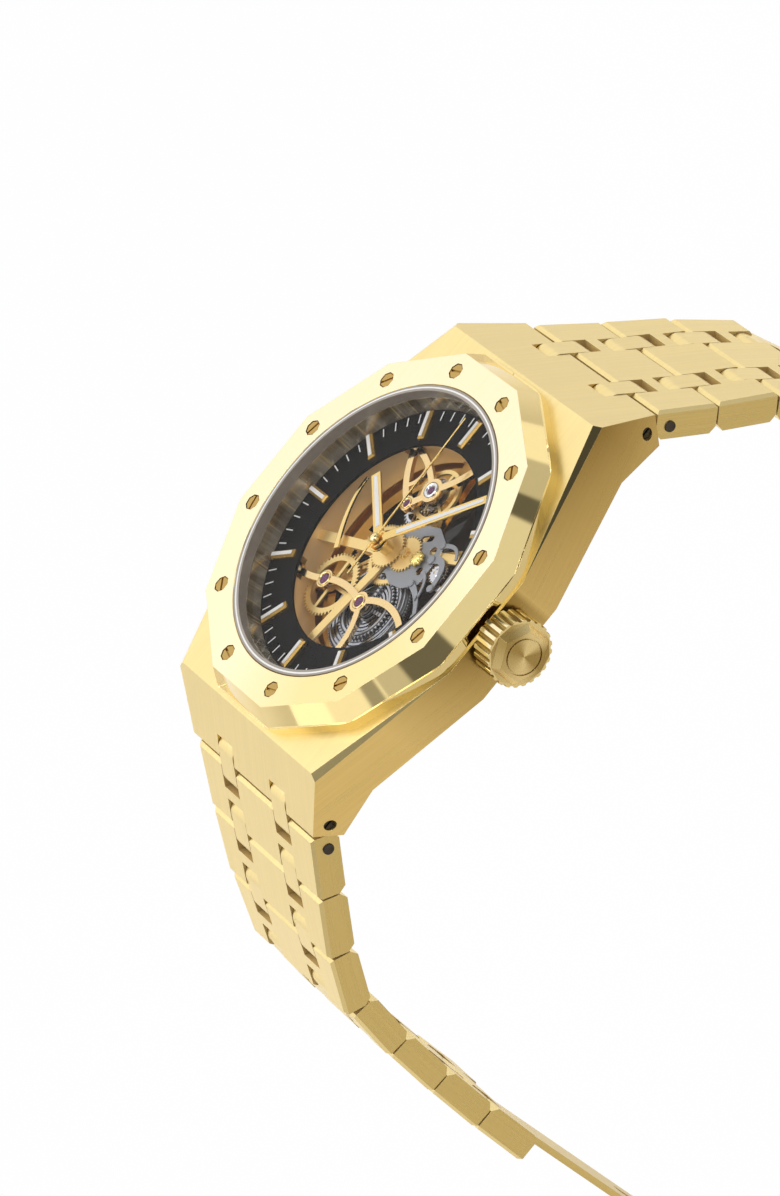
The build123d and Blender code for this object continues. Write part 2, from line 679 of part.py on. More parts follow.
with BuildPart() as hour_wheel:
    hour_r = pitch_radius(WORK_D, HOUR_TEETH, WORK_PINION)
    phase = bearing(CENTRE, MINUTE_WORK)
    add_gear(CENTRE, HOUR_WHEEL_Z, 0.14, HOUR_TEETH, hour_r, phase, bore=CANNON_R + FIT)
    add_rod(CENTRE, HOUR_WHEEL_Z + 0.14, 1.5, 0.75, CANNON_R + FIT)
save(hour_wheel.part, "hour_wheel")

# ================================================================ winding
with BuildPart() as ratchet_wheel:
    phase = mesh_phase(BARREL, REDUCTION, WINDING_TEETH)
    add_gear(BARREL, WINDING_Z, WINDING_T, WINDING_TEETH, WINDING_R, phase, 2.9, 1.1, 4, bore=0.2)
    add_rod(BARREL, 4.0, WINDING_Z - 4.0, 0.6)
save(ratchet_wheel.part, "ratchet_wheel")

with BuildPart() as reduction_wheel:
    phase = bearing(REDUCTION, BARREL)
    add_gear(REDUCTION, WINDING_Z, WINDING_T, WINDING_TEETH, WINDING_R, phase, 2.75, 0.8, 4, bore=0.25)
save(reduction_wheel.part, "reduction_wheel")

with BuildPart() as winding_stem:
    with BuildSketch(Plane.YZ.offset(9.4)):
        with Locations((0, STEM_Z)):
            Circle(STEM_R)
    extrude(amount=13.6)
    # winding pinion end: a short square and a collar
    with BuildSketch(Plane.YZ.offset(8.2)):
        with Locations((0, STEM_Z)):
            Rectangle(0.7, 0.7)
    extrude(amount=1.2)
    with BuildSketch(Plane.YZ.offset(10.1)):
        with Locations((0, STEM_Z)):
            Polygon(*teeth_outline(14, 0.85, 0), align=None)
    extrude(amount=0.9)
save(winding_stem.part, "winding_stem")

with BuildPart() as crown_tube:
    with BuildSketch(Plane.YZ.offset(17.1)):
        with Locations((0, STEM_Z)):
            Circle(TUBE_R)
            Circle(0.9, mode=Mode.SUBTRACT)
    extrude(amount=6.4)
save(crown_tube.part, "crown_tube")

with BuildPart() as crown_gasket:
    with BuildSketch(Plane.YZ.offset(23.6)):
        with Locations((0, STEM_Z)):
            Circle(1.75)
            Circle(0.55, mode=Mode.SUBTRACT)
    extrude(amount=0.3)
save(crown_gasket.part, "crown_gasket")

with BuildPart() as crown:
    with BuildSketch(Plane.YZ.offset(CROWN_X)):
        with Locations((0, STEM_Z)):
            Circle(CROWN_R)
    extrude(amount=CROWN_L)
    with BuildSketch(Plane.YZ.offset(CROWN_X)):
        with Locations((0, STEM_Z)):
            Circle(1.85)
    extrude(amount=1.85, mode=Mode.SUBTRACT)
    # rounded flutes
    with BuildSketch(Plane.YZ.offset(CROWN_X)):
        with Locations((0, STEM_Z)):
            with PolarLocations(CROWN_R + 0.12, CROWN_FLUTES):
                Circle(0.3)
    extrude(amount=CROWN_L, mode=Mode.SUBTRACT)
    # six-sided tapered cap with a plain turned disc
    with BuildSketch(Plane.YZ.offset(CROWN_X + CROWN_L)):
        with Locations((0, STEM_Z)):
            RegularPolygon(3.25, 6, rotation=30)
    with BuildSketch(Plane.YZ.offset(CROWN_X + CROWN_L + CAP_L)):
        with Locations((0, STEM_Z)):
            RegularPolygon(2.6, 6, rotation=30)
    loft(ruled=True)
    with BuildSketch(Plane.YZ.offset(CROWN_X + CROWN_L + CAP_L)):
        with Locations((0, STEM_Z)):
            Circle(1.95)
            Circle(1.8, mode=Mode.SUBTRACT)
    extrude(amount=-0.15, mode=Mode.SUBTRACT)
    with BuildSketch(Plane.YZ.offset(CROWN_X + 1.8)):
        with Locations((0, STEM_Z)):
            Circle(STEM_R)
    extrude(amount=0.1, mode=Mode.SUBTRACT)
save(crown.part, "crown")

# ================================================================ plates and bridges
with BuildPart() as movement_ring:
    with BuildSketch(Plane.XY.offset(RING_BOTTOM_Z)):
        Circle(CASE_BORE_R - 0.05)
        Circle(MOVEMENT_R + 0.05, mode=Mode.SUBTRACT)
    extrude(amount=DIAL_Z - RING_BOTTOM_Z - 0.02)
    with BuildSketch(Plane.YZ.offset(12)):
        with Locations((0, STEM_Z)):
            Circle(1.7)
    extrude(amount=6, mode=Mode.SUBTRACT)
save(movement_ring.part, "movement_ring")

RIM_MID_R = (PLATE_WALL_R + MOVEMENT_R) / 2
with BuildPart() as main_plate:
    with BuildSketch(Plane.XY.offset(PLATE_BOTTOM_Z)):
        Circle(MOVEMENT_R)
        Circle(PLATE_WALL_R, mode=Mode.SUBTRACT)
    extrude(amount=PLATE_TOP_Z - PLATE_BOTTOM_Z)
    with BuildSketch(Plane.XY.offset(WEB_Z)):
        Circle(1.5)
        for angle in (20, bearing(CENTRE, THIRD), 262):
            arm(CENTRE, polar(RIM_MID_R, angle), 1.1)
        with Locations(MINUTE_WORK):
            Circle(0.9)
        with Locations(CENTRE):
            Circle(0.7, mode=Mode.SUBTRACT)
    extrude(amount=WEB_T)
    # post the minute wheel turns on
    add_rod(MINUTE_WORK, WEB_Z + WEB_T, 0.75, 0.27)
    with BuildSketch(Plane.YZ.offset(11)):
        with Locations((0, STEM_Z)):
            Circle(1.2)
    extrude(amount=4, mode=Mode.SUBTRACT)
    # screw holes for the bridges, dial side
    with BuildSketch(Plane.XY.offset(PLATE_TOP_Z)):
        for angle in FEET_DEG:
            with Locations(polar(RIM_MID_R, angle)):
                Circle(0.3)
    extrude(amount=-2, mode=Mode.SUBTRACT)
    # seat that lets the bridge feet sit in the rim
    with BuildSketch(Plane.XY.offset(BRIDGE_Z - 0.02)):
        for angle in FEET_DEG:
            with Locations(Location((*polar(RIM_MID_R, angle), 0), (0, 0, angle))):
                Rectangle(1.2, 2.4)
    extrude(amount=2, mode=Mode.SUBTRACT)
    # seats for the back bridge
    with BuildSketch(Plane.XY.offset(BACK_BRIDGE_Z)):
        for angle in BACK_FEET_DEG:
            with Locations(Location((*polar(RIM_MID_R, angle), 0), (0, 0, angle))):
                Rectangle(1.2, 2.6)
    extrude(amount=BACK_BRIDGE_T + 0.02, mode=Mode.SUBTRACT)
save(main_plate.part, "main_plate")


def jewel_seats(points, z, thick, radius):
    """Open the holes that the jewels sit in, in the open part."""
    with BuildSketch(Plane.XY.offset(z)) as outline:
        with Locations(*points):
            Circle(radius)
    extrude(outline.sketch, amount=thick, mode=Mode.SUBTRACT)


def clip_to_plate():
    """Trim a bridge to the plate's seat circle, in the open part."""
    with BuildSketch(Plane.XY) as outline:
        Circle(MOVEMENT_R - 0.05)
    extrude(outline.sketch, amount=20, mode=Mode.INTERSECT)


JEWEL_R = 0.62
FEET = {angle: polar(RIM_MID_R, angle) for angle in FEET_DEG}

with BuildPart() as barrel_bridge:
    with BuildSketch(Plane.XY.offset(BRIDGE_Z)):
        bow(BARREL, (3.4, -8.6), FEET[-73], 0.75)
        bow(BARREL, (-2.0, -5.4), REDUCTION, 0.75)
        bow(BARREL, (5.6, -4.4), FEET[-30], 0.75)
        bow(REDUCTION, (-7.9, -6.9), FEET[-145], 0.7)
        with Locations(BARREL):
            Circle(1.15)
        with Locations(REDUCTION):
            Circle(1.0)
        for angle in (-73, -30, -145):
            with Locations(FEET[angle]):
                Circle(FOOT_R)
    extrude(amount=BRIDGE_T)
    clip_to_plate()
    jewel_seats((BARREL, REDUCTION), BRIDGE_Z + 0.1, BRIDGE_T, JEWEL_R)
    jewel_seats([FEET[a] for a in (-73, -30, -145)], BRIDGE_Z, BRIDGE_T, FOOT_SCREW_R)
    # stud the reduction wheel turns on
    stud_z = WINDING_Z - 0.05
    add_rod(REDUCTION, stud_z, BRIDGE_Z - stud_z + 0.1, 0.22)
save(barrel_bridge.part, "barrel_bridge")

with BuildPart() as balance_cock:
    with BuildSketch(Plane.XY.offset(BRIDGE_Z)):
        bow(BALANCE, (1.6, 9.4), FEET[75], 0.8)
        bow(BALANCE, (-3.6, 8.9), FEET[128], 0.7)
        bow(BALANCE, (-1.5, 5.7), ESCAPE, 0.8)
        bow(ESCAPE, (-5.2, 6.6), FEET[128], 0.8)
        bow((-4.9, 6.0), (-3.6, 7.2), (-3.7, 8.8), 0.5)
        with Locations(BALANCE):
            Circle(1.35)
        with Locations(ESCAPE):
            Circle(0.85)
        with Locations(FEET[75], FEET[128]):
            Circle(FOOT_R)
    extrude(amount=BRIDGE_T)
    clip_to_plate()
    jewel_seats((BALANCE,), BRIDGE_Z, BRIDGE_T, 0.8)
    jewel_seats((ESCAPE,), BRIDGE_Z, BRIDGE_T, 0.45)
    jewel_seats((FEET[75], FEET[128]), BRIDGE_Z, BRIDGE_T, FOOT_SCREW_R)
save(balance_cock.part, "balance_cock")

BACK_FEET = [polar(RIM_MID_R, a) for a in BACK_FEET_DEG]
with BuildPart() as train_bridge:
    with BuildSketch(Plane.XY.offset(BACK_BRIDGE_Z)):
        Circle(3.0)
        for foot in BACK_FEET:
            arm(CENTRE, foot, 1.6)
            with Locations(foot):
                Circle(0.9)
        for point in (THIRD, ESCAPE, BALANCE, BARREL, PALLET):
            arm(CENTRE, point, 1.2)
            with Locations(point):
                Circle(1.0)
    extrude(amount=BACK_BRIDGE_T)
    clip_to_plate()
    jewel_seats(BACK_FEET, BACK_BRIDGE_Z, BACK_BRIDGE_T, FOOT_SCREW_R)
    # post for the rotor's ball race
    add_rod(CENTRE, 2.2, BACK_BRIDGE_Z - 2.2, 0.8)
save(train_bridge.part, "train_bridge")

with BuildPart() as bridge_screws:
    for angle in FEET:
        add_rod(FEET[angle], BRIDGE_Z - 0.9, BRIDGE_T + 0.9, FOOT_SCREW_R - FIT)
        add_rod(FEET[angle], BRIDGE_Z + BRIDGE_T, 0.2, 0.5)
    for foot in BACK_FEET:
        add_rod(foot, BACK_BRIDGE_Z, BACK_BRIDGE_T, FOOT_SCREW_R - FIT)
        add_rod(foot, BACK_BRIDGE_Z - 0.2, 0.2, 0.5)
save(bridge_screws.part, "bridge_screws")

with BuildPart() as jewels:
    for point, radius in ((BARREL, JEWEL_R), (REDUCTION, JEWEL_R), (BALANCE, 0.8), (ESCAPE, 0.45)):
        z_low = BRIDGE_Z + 0.12
        with BuildSketch(Plane.XY.offset(z_low)):
            with Locations(point):
                Circle(radius - 0.02)
        extrude(amount=BRIDGE_T - 0.14)
save(jewels.part, "jewels")

with BuildPart() as keyless_plate:
    with BuildSketch(Plane.XY.offset(BRIDGE_Z)):
        outline = [(1.2, -1.9), (3.2, -2.6), (5.2, -2.3), (7.1, -0.9), (7.0, 1.4), (6.6, 3.9), (4.2, 4.8)]
        outline += [(2.2, 4.2), (0.6, 3.2), (-0.6, 2.2), (0.4, 1.4), (1.2, 0.0)]
        Polygon(*outline, align=None)
        with Locations(CENTRE):
            Circle(1.0, mode=Mode.SUBTRACT)
        with Locations(MINUTE_WORK):
            Circle(0.4, mode=Mode.SUBTRACT)
        with Locations((5.6, 2.6), (5.9, 0.2)):
            Circle(0.45, mode=Mode.SUBTRACT)
        with Locations((3.6, 3.2)):
            SlotOverall(1.8, 0.7, rotation=30, mode=Mode.SUBTRACT)
    extrude(amount=0.22)
save(keyless_plate.part, "keyless_plate")

# ================================================================ rotor
with BuildPart() as rotor:
    with BuildSketch(Plane.XY.offset(ROTOR_Z)):
        with BuildLine():
            CenterArc((0, 0), ROTOR_R, 95, 180)
            Line(polar(ROTOR_R, 275), polar(ROTOR_HUB_R, 300))
            CenterArc((0, 0), ROTOR_HUB_R, 300, 130)
            Line(polar(ROTOR_HUB_R, 70), polar(ROTOR_R, 95))
        make_face()
        with BuildLine():
            CenterArc((0, 0), 9.9, 108, 70)
            Line(polar(9.9, 178), polar(3.6, 172))
            CenterArc((0, 0), 3.6, 114, 58)
            Line(polar(3.6, 114), polar(9.9, 108))
        make_face(mode=Mode.SUBTRACT)
        with BuildLine():
            CenterArc((0, 0), 9.9, 192, 70)
            Line(polar(9.9, 262), polar(3.6, 256))
            CenterArc((0, 0), 3.6, 198, 58)
            Line(polar(3.6, 198), polar(9.9, 192))
        make_face(mode=Mode.SUBTRACT)
    extrude(amount=ROTOR_T)
    with BuildSketch(Plane.XY.offset(ROTOR_RIM_Z)):
        with BuildLine():
            CenterArc((0, 0), ROTOR_R, 97, 176)
            Line(polar(ROTOR_R, 273), polar(ROTOR_RIM_R, 273))
            CenterArc((0, 0), ROTOR_RIM_R, 97, 176)
            Line(polar(ROTOR_RIM_R, 97), polar(ROTOR_R, 97))
        make_face()
    extrude(amount=ROTOR_Z - ROTOR_RIM_Z)
    with BuildSketch(Plane.XY.offset(2.2)):
        Circle(ROTOR_HUB_R)
    extrude(amount=0.9)
    with BuildSketch(Plane.XY.offset(2.0)):
        Circle(0.8 + FIT)
    extrude(amount=2, mode=Mode.SUBTRACT)
save(rotor.part, "rotor")


# ================================================================ bracelet
def stud_outline():
    """Side outline of a connecting stud, round about both of its pins."""
    near, far = 0.0, 2 * PIN_TO_GAP
    with BuildLine() as path:
        Line((near, -STUD_END), (far, -STUD_END))
        RadiusArc((far, -STUD_END), (far + STUD_END, 0), -STUD_END)
        Line((far + STUD_END, 0), (far + STUD_END, LINK_TOP - STUD_ROUND))
        crown_start = far + STUD_END - STUD_ROUND
        RadiusArc((far + STUD_END, LINK_TOP - STUD_ROUND), (crown_start, LINK_TOP), -STUD_ROUND)
        Line((crown_start, LINK_TOP), (near - STUD_END + STUD_ROUND, LINK_TOP))
        crown_end = near - STUD_END + STUD_ROUND
        RadiusArc((crown_end, LINK_TOP), (near - STUD_END, LINK_TOP - STUD_ROUND), -STUD_ROUND)
        Line((near - STUD_END, LINK_TOP - STUD_ROUND), (near - STUD_END, 0))
        RadiusArc((near - STUD_END, 0), (near, -STUD_END), -STUD_END)
    make_face(path.edges())


def add_studs(plane, offset):
    """The pair of connecting studs and the pin across them, as loose solids in the open part."""
    for centre in (offset, -offset):
        with BuildSketch(plane.offset(centre - STUD_W / 2)) as outline:
            stud_outline()
            with Locations((0, 0), (2 * PIN_TO_GAP, 0)):
                Circle(PIN_R + FIT, mode=Mode.SUBTRACT)
        extrude(outline.sketch, amount=STUD_W)


def add_pin(plane, along, half):
    with BuildSketch(plane.offset(-half)) as outline:
        with Locations((along, 0)):
            Circle(PIN_R)
    extrude(outline.sketch, amount=2 * half)


def link(side, pivot, fall, near_w, far_w, near_offset, far_offsets, far_slot_w):
    """One bracelet link: tapered plate, its two studs and its two pins."""
    plane = link_plane(side, pivot, fall)
    start = PIN_TO_GAP + HALF_GAP
    end = PIN_TO_GAP + PITCH - HALF_GAP
    half = near_w / 2
    lean = atan2((near_w - far_w) / 2, end - start)
    with BuildPart() as piece:
        with BuildSketch(plane.offset(-half)):
            Polygon(
                (start, LINK_TOP - END_BEVEL),
                (start + END_BEVEL, LINK_TOP),
                (end - END_BEVEL, LINK_TOP),
                (end, LINK_TOP - END_BEVEL),
                (end, LINK_BOTTOM + UNDERCUT),
                (end - UNDERCUT, LINK_BOTTOM),
                (start + UNDERCUT, LINK_BOTTOM),
                (start, LINK_BOTTOM + UNDERCUT),
                align=None,
            )
        extrude(amount=2 * half)
        for edge in (1, -1):
            across = plane.z_dir * edge
            normal = plane.x_dir * sin(lean) + across * cos(lean)
            corner = plane.from_local_coords((start, 0, edge * half))
            split(bisect_by=Plane(origin=corner, z_dir=normal), keep=Keep.BOTTOM)
            bevel_at = plane.from_local_coords((start, LINK_TOP, edge * (half - SIDE_BEVEL)))
            split(bisect_by=Plane(origin=bevel_at, z_dir=normal + plane.y_dir), keep=Keep.BOTTOM)
        slot_w = STUD_W + 2 * STUD_SLACK
        near_end = 2 * PIN_TO_GAP + SLOT_DEPTH
        cut_slots(plane, 0, near_end, (near_offset, -near_offset), slot_w)
        cut_slots(plane, PITCH - SLOT_DEPTH, PITCH + 4, far_offsets, far_slot_w)
        pin_half = far_w / 2 - 0.8
        cut_cross_hole(plane, 2 * PIN_TO_GAP, 0, PIN_R + FIT, pin_half)
        cut_cross_hole(plane, PITCH, 0, PIN_R + FIT, pin_half)
        add_studs(plane, near_offset)
        add_pin(plane, 2 * PIN_TO_GAP, pin_half - FIT)
        add_pin(plane, PITCH, pin_half - FIT)
    return piece.part


for side, name, points, falls in ((1, "12", PIVOTS_12, FALL_12), (-1, "6", PIVOTS_6, FALL_6)):
    for k, fall in enumerate(falls):
        last = k == len(falls) - 1
        slot_w = STUD_W + 2 * STUD_SLACK
        far = STUD_OFFSETS[k] if last else STUD_OFFSETS[k + 1]
        far_offsets = (far, -far)
        if last and side == -1:
            far_offsets, slot_w = (0,), 2 * INNER_HALF + 0.3
        near_w, far_w = LINK_WIDTHS[k], LINK_WIDTHS[k + 1] + 0.1
        piece = link(side, points[k], fall, near_w, far_w, STUD_OFFSETS[k], far_offsets, slot_w)
        save(piece, f"link_{name}_{k + 1}")

# ================================================================ folding clasp
CLASP = link_plane(1, PIVOTS_12[-1], COVER_FALL)
BLADE_DIR = Vector(0, cos(radians(BLADE_FALL)), sin(radians(BLADE_FALL)))
BLADE_END = Vector(0, *PIVOTS_6[-1])
BLADE = Plane(origin=BLADE_END - BLADE_DIR * CLASP_SPAN, x_dir=BLADE_DIR, z_dir=(1, 0, 0))
COVER_START = PIN_TO_GAP + HALF_GAP
COVER_BLOCK = 6.6
BLADE_MID = (BLADE_LOW + BLADE_HIGH) / 2
STRAP_W = 2.5
STRAPS = (BLADE_TIP + 0.2, 40.0)
BUTTON_UP = -0.15           # the buttons' centre below the pin line


def clasp_bar(lateral_low, lateral_high, points, mode=Mode.ADD, plane=CLASP):
    """Prism across part of the clasp's width, in the open part."""
    with BuildSketch(plane.offset(lateral_low)) as outline:
        Polygon(*points, align=None)
    extrude(outline.sketch, amount=lateral_high - lateral_low, mode=mode)


def box_points(s_low, s_high, h_low, h_high):
    return ((s_low, h_low), (s_high, h_low), (s_high, h_high), (s_low, h_high))


COVER_OUTLINE = (
    (COVER_START, LINK_TOP - END_BEVEL),
    (COVER_START + END_BEVEL, LINK_TOP),
    (COVER_END - END_BEVEL, LINK_TOP),
    (COVER_END, LINK_TOP - END_BEVEL),
    (COVER_END, COVER_UNDER),
    (COVER_BLOCK, COVER_UNDER),
    (COVER_BLOCK, LINK_BOTTOM),
    (COVER_START + UNDERCUT, LINK_BOTTOM),
    (COVER_START, LINK_BOTTOM + UNDERCUT),
)
with BuildPart() as clasp_cover:
    clasp_bar(-CLASP_W / 2, CLASP_W / 2, COVER_OUTLINE)
    for lateral in (-CLASP_W / 2, CLASP_W / 2 - FLANGE_T):
        clasp_bar(lateral, lateral + FLANGE_T, box_points(COVER_BLOCK, COVER_END, FLANGE_LOW, COVER_UNDER))
    for edge in (1, -1):
        bevel_at = CLASP.from_local_coords((0, LINK_TOP, edge * (CLASP_W / 2 - SIDE_BEVEL)))
        split(bisect_by=Plane(origin=bevel_at, z_dir=CLASP.z_dir * edge + CLASP.y_dir), keep=Keep.BOTTOM)
    last_offsets = (STUD_OFFSETS[-1], -STUD_OFFSETS[-1])
    cut_slots(CLASP, 0, 2 * PIN_TO_GAP + SLOT_DEPTH, last_offsets, STUD_W + 2 * STUD_SLACK)
    cut_cross_hole(CLASP, 2 * PIN_TO_GAP, 0, PIN_R + FIT, CLASP_W / 2 - 0.8)
    # button windows in the flanges
    window_l, window_h = BUTTON_L / 2 + FIT, BUTTON_H / 2 + FIT
    window = box_points(BUTTON_S - window_l, BUTTON_S + window_l, BUTTON_UP - window_h, BUTTON_UP + window_h)
    for lateral in (-CLASP_W / 2 - 1, CLASP_W / 2 - FLANGE_T - 0.5):
        clasp_bar(lateral, lateral + FLANGE_T + 1.5, window, Mode.SUBTRACT)
    # stub pins for the outer blade
    for lateral in (-CLASP_W / 2 + FLANGE_T, RAIL_IN - 0.1):
        with BuildSketch(CLASP.offset(lateral)):
            with Locations((BLADE_PIN, BLADE_MID)):
                Circle(PIN_R)
        extrude(amount=CLASP_W / 2 - FLANGE_T - RAIL_IN + 0.1)
    add_studs(CLASP, STUD_OFFSETS[-1])
    add_pin(CLASP, 2 * PIN_TO_GAP, CLASP_W / 2 - 0.9)
save(clasp_cover.part, "clasp_cover")

with BuildPart() as clasp_outer_blade:
    for low in (-RAIL_OUT, RAIL_IN):
        clasp_bar(low, low + RAIL_OUT - RAIL_IN, box_points(BLADE_TIP, BLADE_PIN, BLADE_LOW, BLADE_HIGH))
        with BuildSketch(CLASP.offset(low)):
            with Locations((BLADE_PIN, BLADE_MID)):
                Circle(0.85)
        extrude(amount=RAIL_OUT - RAIL_IN)
    # two straps tie the rails together on the wrist side of the inner blade
    for along in STRAPS:
        clasp_bar(-RAIL_OUT, RAIL_OUT, box_points(along, along + STRAP_W, BLADE_LOW - 0.45, BLADE_LOW - 0.05))
        foot = box_points(along, along + STRAP_W, BLADE_LOW - 0.1, BLADE_LOW + 0.1)
        for low in (-RAIL_OUT, RAIL_IN):
            clasp_bar(low, low + RAIL_OUT - RAIL_IN, foot)
    cut_cross_hole(CLASP, BLADE_PIN, BLADE_MID, PIN_R + FIT, RAIL_OUT + 1)
save(clasp_outer_blade.part, "clasp_outer_blade")

with BuildPart() as clasp_inner_blade:
    clasp_bar(-INNER_HALF, INNER_HALF, box_points(HOOK_TIP, CLASP_SPAN, BLADE_LOW, BLADE_HIGH), plane=BLADE)
    # hook that catches the outer blade's first strap when the bracelet is closed
    clasp_bar(-INNER_HALF, INNER_HALF, box_points(HOOK_TIP, HOOK_ROOT, HOOK_LOW, BLADE_LOW), plane=BLADE)
    with BuildSketch(BLADE.offset(-INNER_HALF)):
        with Locations((CLASP_SPAN, 0)):
            Circle(1.15)
    extrude(amount=2 * INNER_HALF)
    cut_cross_hole(BLADE, CLASP_SPAN, 0, PIN_R + FIT, INNER_HALF + 1)
    # row of three fixing holes
    for along in (14.0, 20.0, 26.0):
        above = BLADE.from_local_coords((along, 1, 0))
        with BuildSketch(Plane(origin=above, x_dir=BLADE.x_dir, z_dir=-BLADE.y_dir)):
            SlotOverall(3.2, 1.4)
        extrude(amount=3, mode=Mode.SUBTRACT)
save(clasp_inner_blade.part, "clasp_inner_blade")

for edge, name in ((1, "clasp_button_crown_side"), (-1, "clasp_button_far_side")):
    with BuildPart() as clasp_button:
        with BuildSketch(CLASP.offset(edge * (CLASP_W / 2 - FLANGE_T + 0.02))):
            with Locations((BUTTON_S, BUTTON_UP)):
                Rectangle(BUTTON_L, BUTTON_H)
        extrude(amount=edge * (FLANGE_T + BUTTON_PROUD - 0.02))
        chamfer(clasp_button.faces().sort_by(Axis(CLASP.origin, CLASP.z_dir * edge))[-1].edges(), 0.2)
    save(clasp_button.part, name)
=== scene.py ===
import json
import math

import bmesh
import bpy
from mathutils import Matrix, Vector


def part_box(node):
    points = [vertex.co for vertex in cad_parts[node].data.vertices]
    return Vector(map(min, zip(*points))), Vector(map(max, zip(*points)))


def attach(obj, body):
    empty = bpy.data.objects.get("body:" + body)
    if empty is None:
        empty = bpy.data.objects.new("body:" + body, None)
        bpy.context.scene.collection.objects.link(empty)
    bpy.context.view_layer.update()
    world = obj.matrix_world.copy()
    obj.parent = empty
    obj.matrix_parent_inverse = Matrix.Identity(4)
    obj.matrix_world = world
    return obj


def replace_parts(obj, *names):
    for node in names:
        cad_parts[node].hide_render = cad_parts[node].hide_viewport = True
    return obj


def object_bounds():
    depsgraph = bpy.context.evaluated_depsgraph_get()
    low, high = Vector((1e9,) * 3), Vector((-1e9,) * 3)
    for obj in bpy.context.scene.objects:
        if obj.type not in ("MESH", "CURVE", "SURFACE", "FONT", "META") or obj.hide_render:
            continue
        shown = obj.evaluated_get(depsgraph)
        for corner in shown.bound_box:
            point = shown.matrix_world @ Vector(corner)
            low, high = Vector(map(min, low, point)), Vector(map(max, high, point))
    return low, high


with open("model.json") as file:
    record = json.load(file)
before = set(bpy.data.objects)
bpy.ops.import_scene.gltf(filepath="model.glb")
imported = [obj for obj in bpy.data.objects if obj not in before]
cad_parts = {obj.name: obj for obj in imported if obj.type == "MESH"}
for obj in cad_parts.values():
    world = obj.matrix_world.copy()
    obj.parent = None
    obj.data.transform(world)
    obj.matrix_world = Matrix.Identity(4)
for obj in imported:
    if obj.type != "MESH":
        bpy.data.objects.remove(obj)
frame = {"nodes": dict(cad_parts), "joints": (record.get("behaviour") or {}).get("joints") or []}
CAD_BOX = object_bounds()
NODES = frame["nodes"]
JOINTS = {joint["name"]: joint for joint in frame["joints"]}
MM = 0.001


def pivot(joint):
    """A point on a joint's axis."""
    return Vector(JOINTS[joint]["pos_m"])


# ------------------------------------------------------------------ places, worked out from the frame
DIAL_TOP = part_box("dial_ring")[1].z
INDEX_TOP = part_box("hour_indices")[1].z
INDEX_OUT_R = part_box("hour_indices")[1].x
HANDS_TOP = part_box("second_hand")[1].z
BRIDGE_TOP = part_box("balance_cock")[1].z
KEYLESS_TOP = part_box("keyless_plate")[1].z
MAIN_PLATE_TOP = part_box("main_plate")[1].z
CASE_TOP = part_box("case_middle")[1].z
BEZEL_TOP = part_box("bezel")[1].z
CROWN_LOW, CROWN_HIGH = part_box("crown")
CROWN_Y = (CROWN_LOW.y + CROWN_HIGH.y) / 2
CROWN_Z = (CROWN_LOW.z + CROWN_HIGH.z) / 2
LUG_PIN_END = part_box("lug_screws")[1].x
FIRST_LINK_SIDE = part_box("link_12_1")[1].x
FLOOR_Z = CAD_BOX[0][2] - 0.2 * MM

# ------------------------------------------------------------------ zones that change material
CASE_WALL_R = 19 * MM           # upright faces further out than this are the case's outer flanks
BEZEL_TOP_DEPTH = 0.2 * MM
CROWN_CAP_R = 3.2 * MM
CROWN_GROOVE_R = 3.43 * MM
PIN_HEAD_DEPTH = 0.5 * MM
LINK_FLANK_DEPTH = 1.2 * MM     # faces across the bracelet that lie no deeper than this are a link's flank
GASKET_CREST_R = 16.38 * MM
GASKET_CREST_HALF = 0.09 * MM

# ------------------------------------------------------------------ sizes of the added pieces
INDEX_L = 3.3 * MM
INDEX_LUME_RIM = 0.22 * MM      # gold left at the ends of an hour marker's luminous insert
INDEX_LUME_W = 0.42 * MM
TICK_L = 1.05 * MM
TICK_W = 0.13 * MM
TICK_SINK, TICK_PROUD = 0.01 * MM, 0.015 * MM
INDEX_LUME_SINK, INDEX_LUME_PROUD = 0.08 * MM, 0.05 * MM
HOUR_LUME_W, HOUR_LUME_START = 0.56 * MM, 2.0 * MM
MINUTE_LUME_W, MINUTE_LUME_START = 0.48 * MM, 2.6 * MM
HAND_LUME_RIM = 0.3 * MM
HAND_LUME_TAPER = 0.86          # width at the tip, as a share of the width at the start
HAND_LUME_SINK, HAND_LUME_PROUD = 0.06 * MM, 0.03 * MM
EDGE = 0.03 * MM                # bevel on added pieces
FINE_EDGE = 0.02 * MM
HAIRSPRING_R = (0.35 * MM, 1.9 * MM)
HAIRSPRING_TURNS = 9
HAIRSPRING_W = 0.05 * MM
MAINSPRING_R = (1.2 * MM, 4.55 * MM)
MAINSPRING_TURNS = 8
MAINSPRING_W = 0.24 * MM
COIL_PITCH = 0.46 * MM          # of the coils drawn on the barrel
LEVER_LIFT = 0.01 * MM          # between the keyless plate and what lies on it
LEVER_THICK = 0.15 * MM
LEVER_SCREW_H = 0.25 * MM
SETTING_CAP_AT = (4.85 * MM, 1.0 * MM)
SETTING_CAP_R = 0.92 * MM
SETTING_CAP_FLUTES = 9
SETTING_CAP_FLUTE_DEPTH = 0.2 * MM
SETTING_CAP_LIFT = 0.28 * MM    # its underside above the keyless plate
SETTING_POST_R = 0.28 * MM
SETTING_WHEEL_AT = (8.35 * MM, 1.15 * MM)
SETTING_WHEEL_TEETH = 18
SETTING_WHEEL_ROOT_R, SETTING_WHEEL_TIP_R = 0.95 * MM, 1.15 * MM
SETTING_WHEEL_THICK = 0.2 * MM
SPOKE_WIDE, SPOKE_NARROW = 0.62 * MM, 0.32 * MM
SPOKE_DROP = 0.25 * MM          # its top below the main plate's
SPOKE_THICK = 0.22 * MM
PIN_TO_GAP = 1.7 * MM           # from a link pin to the gap between two links


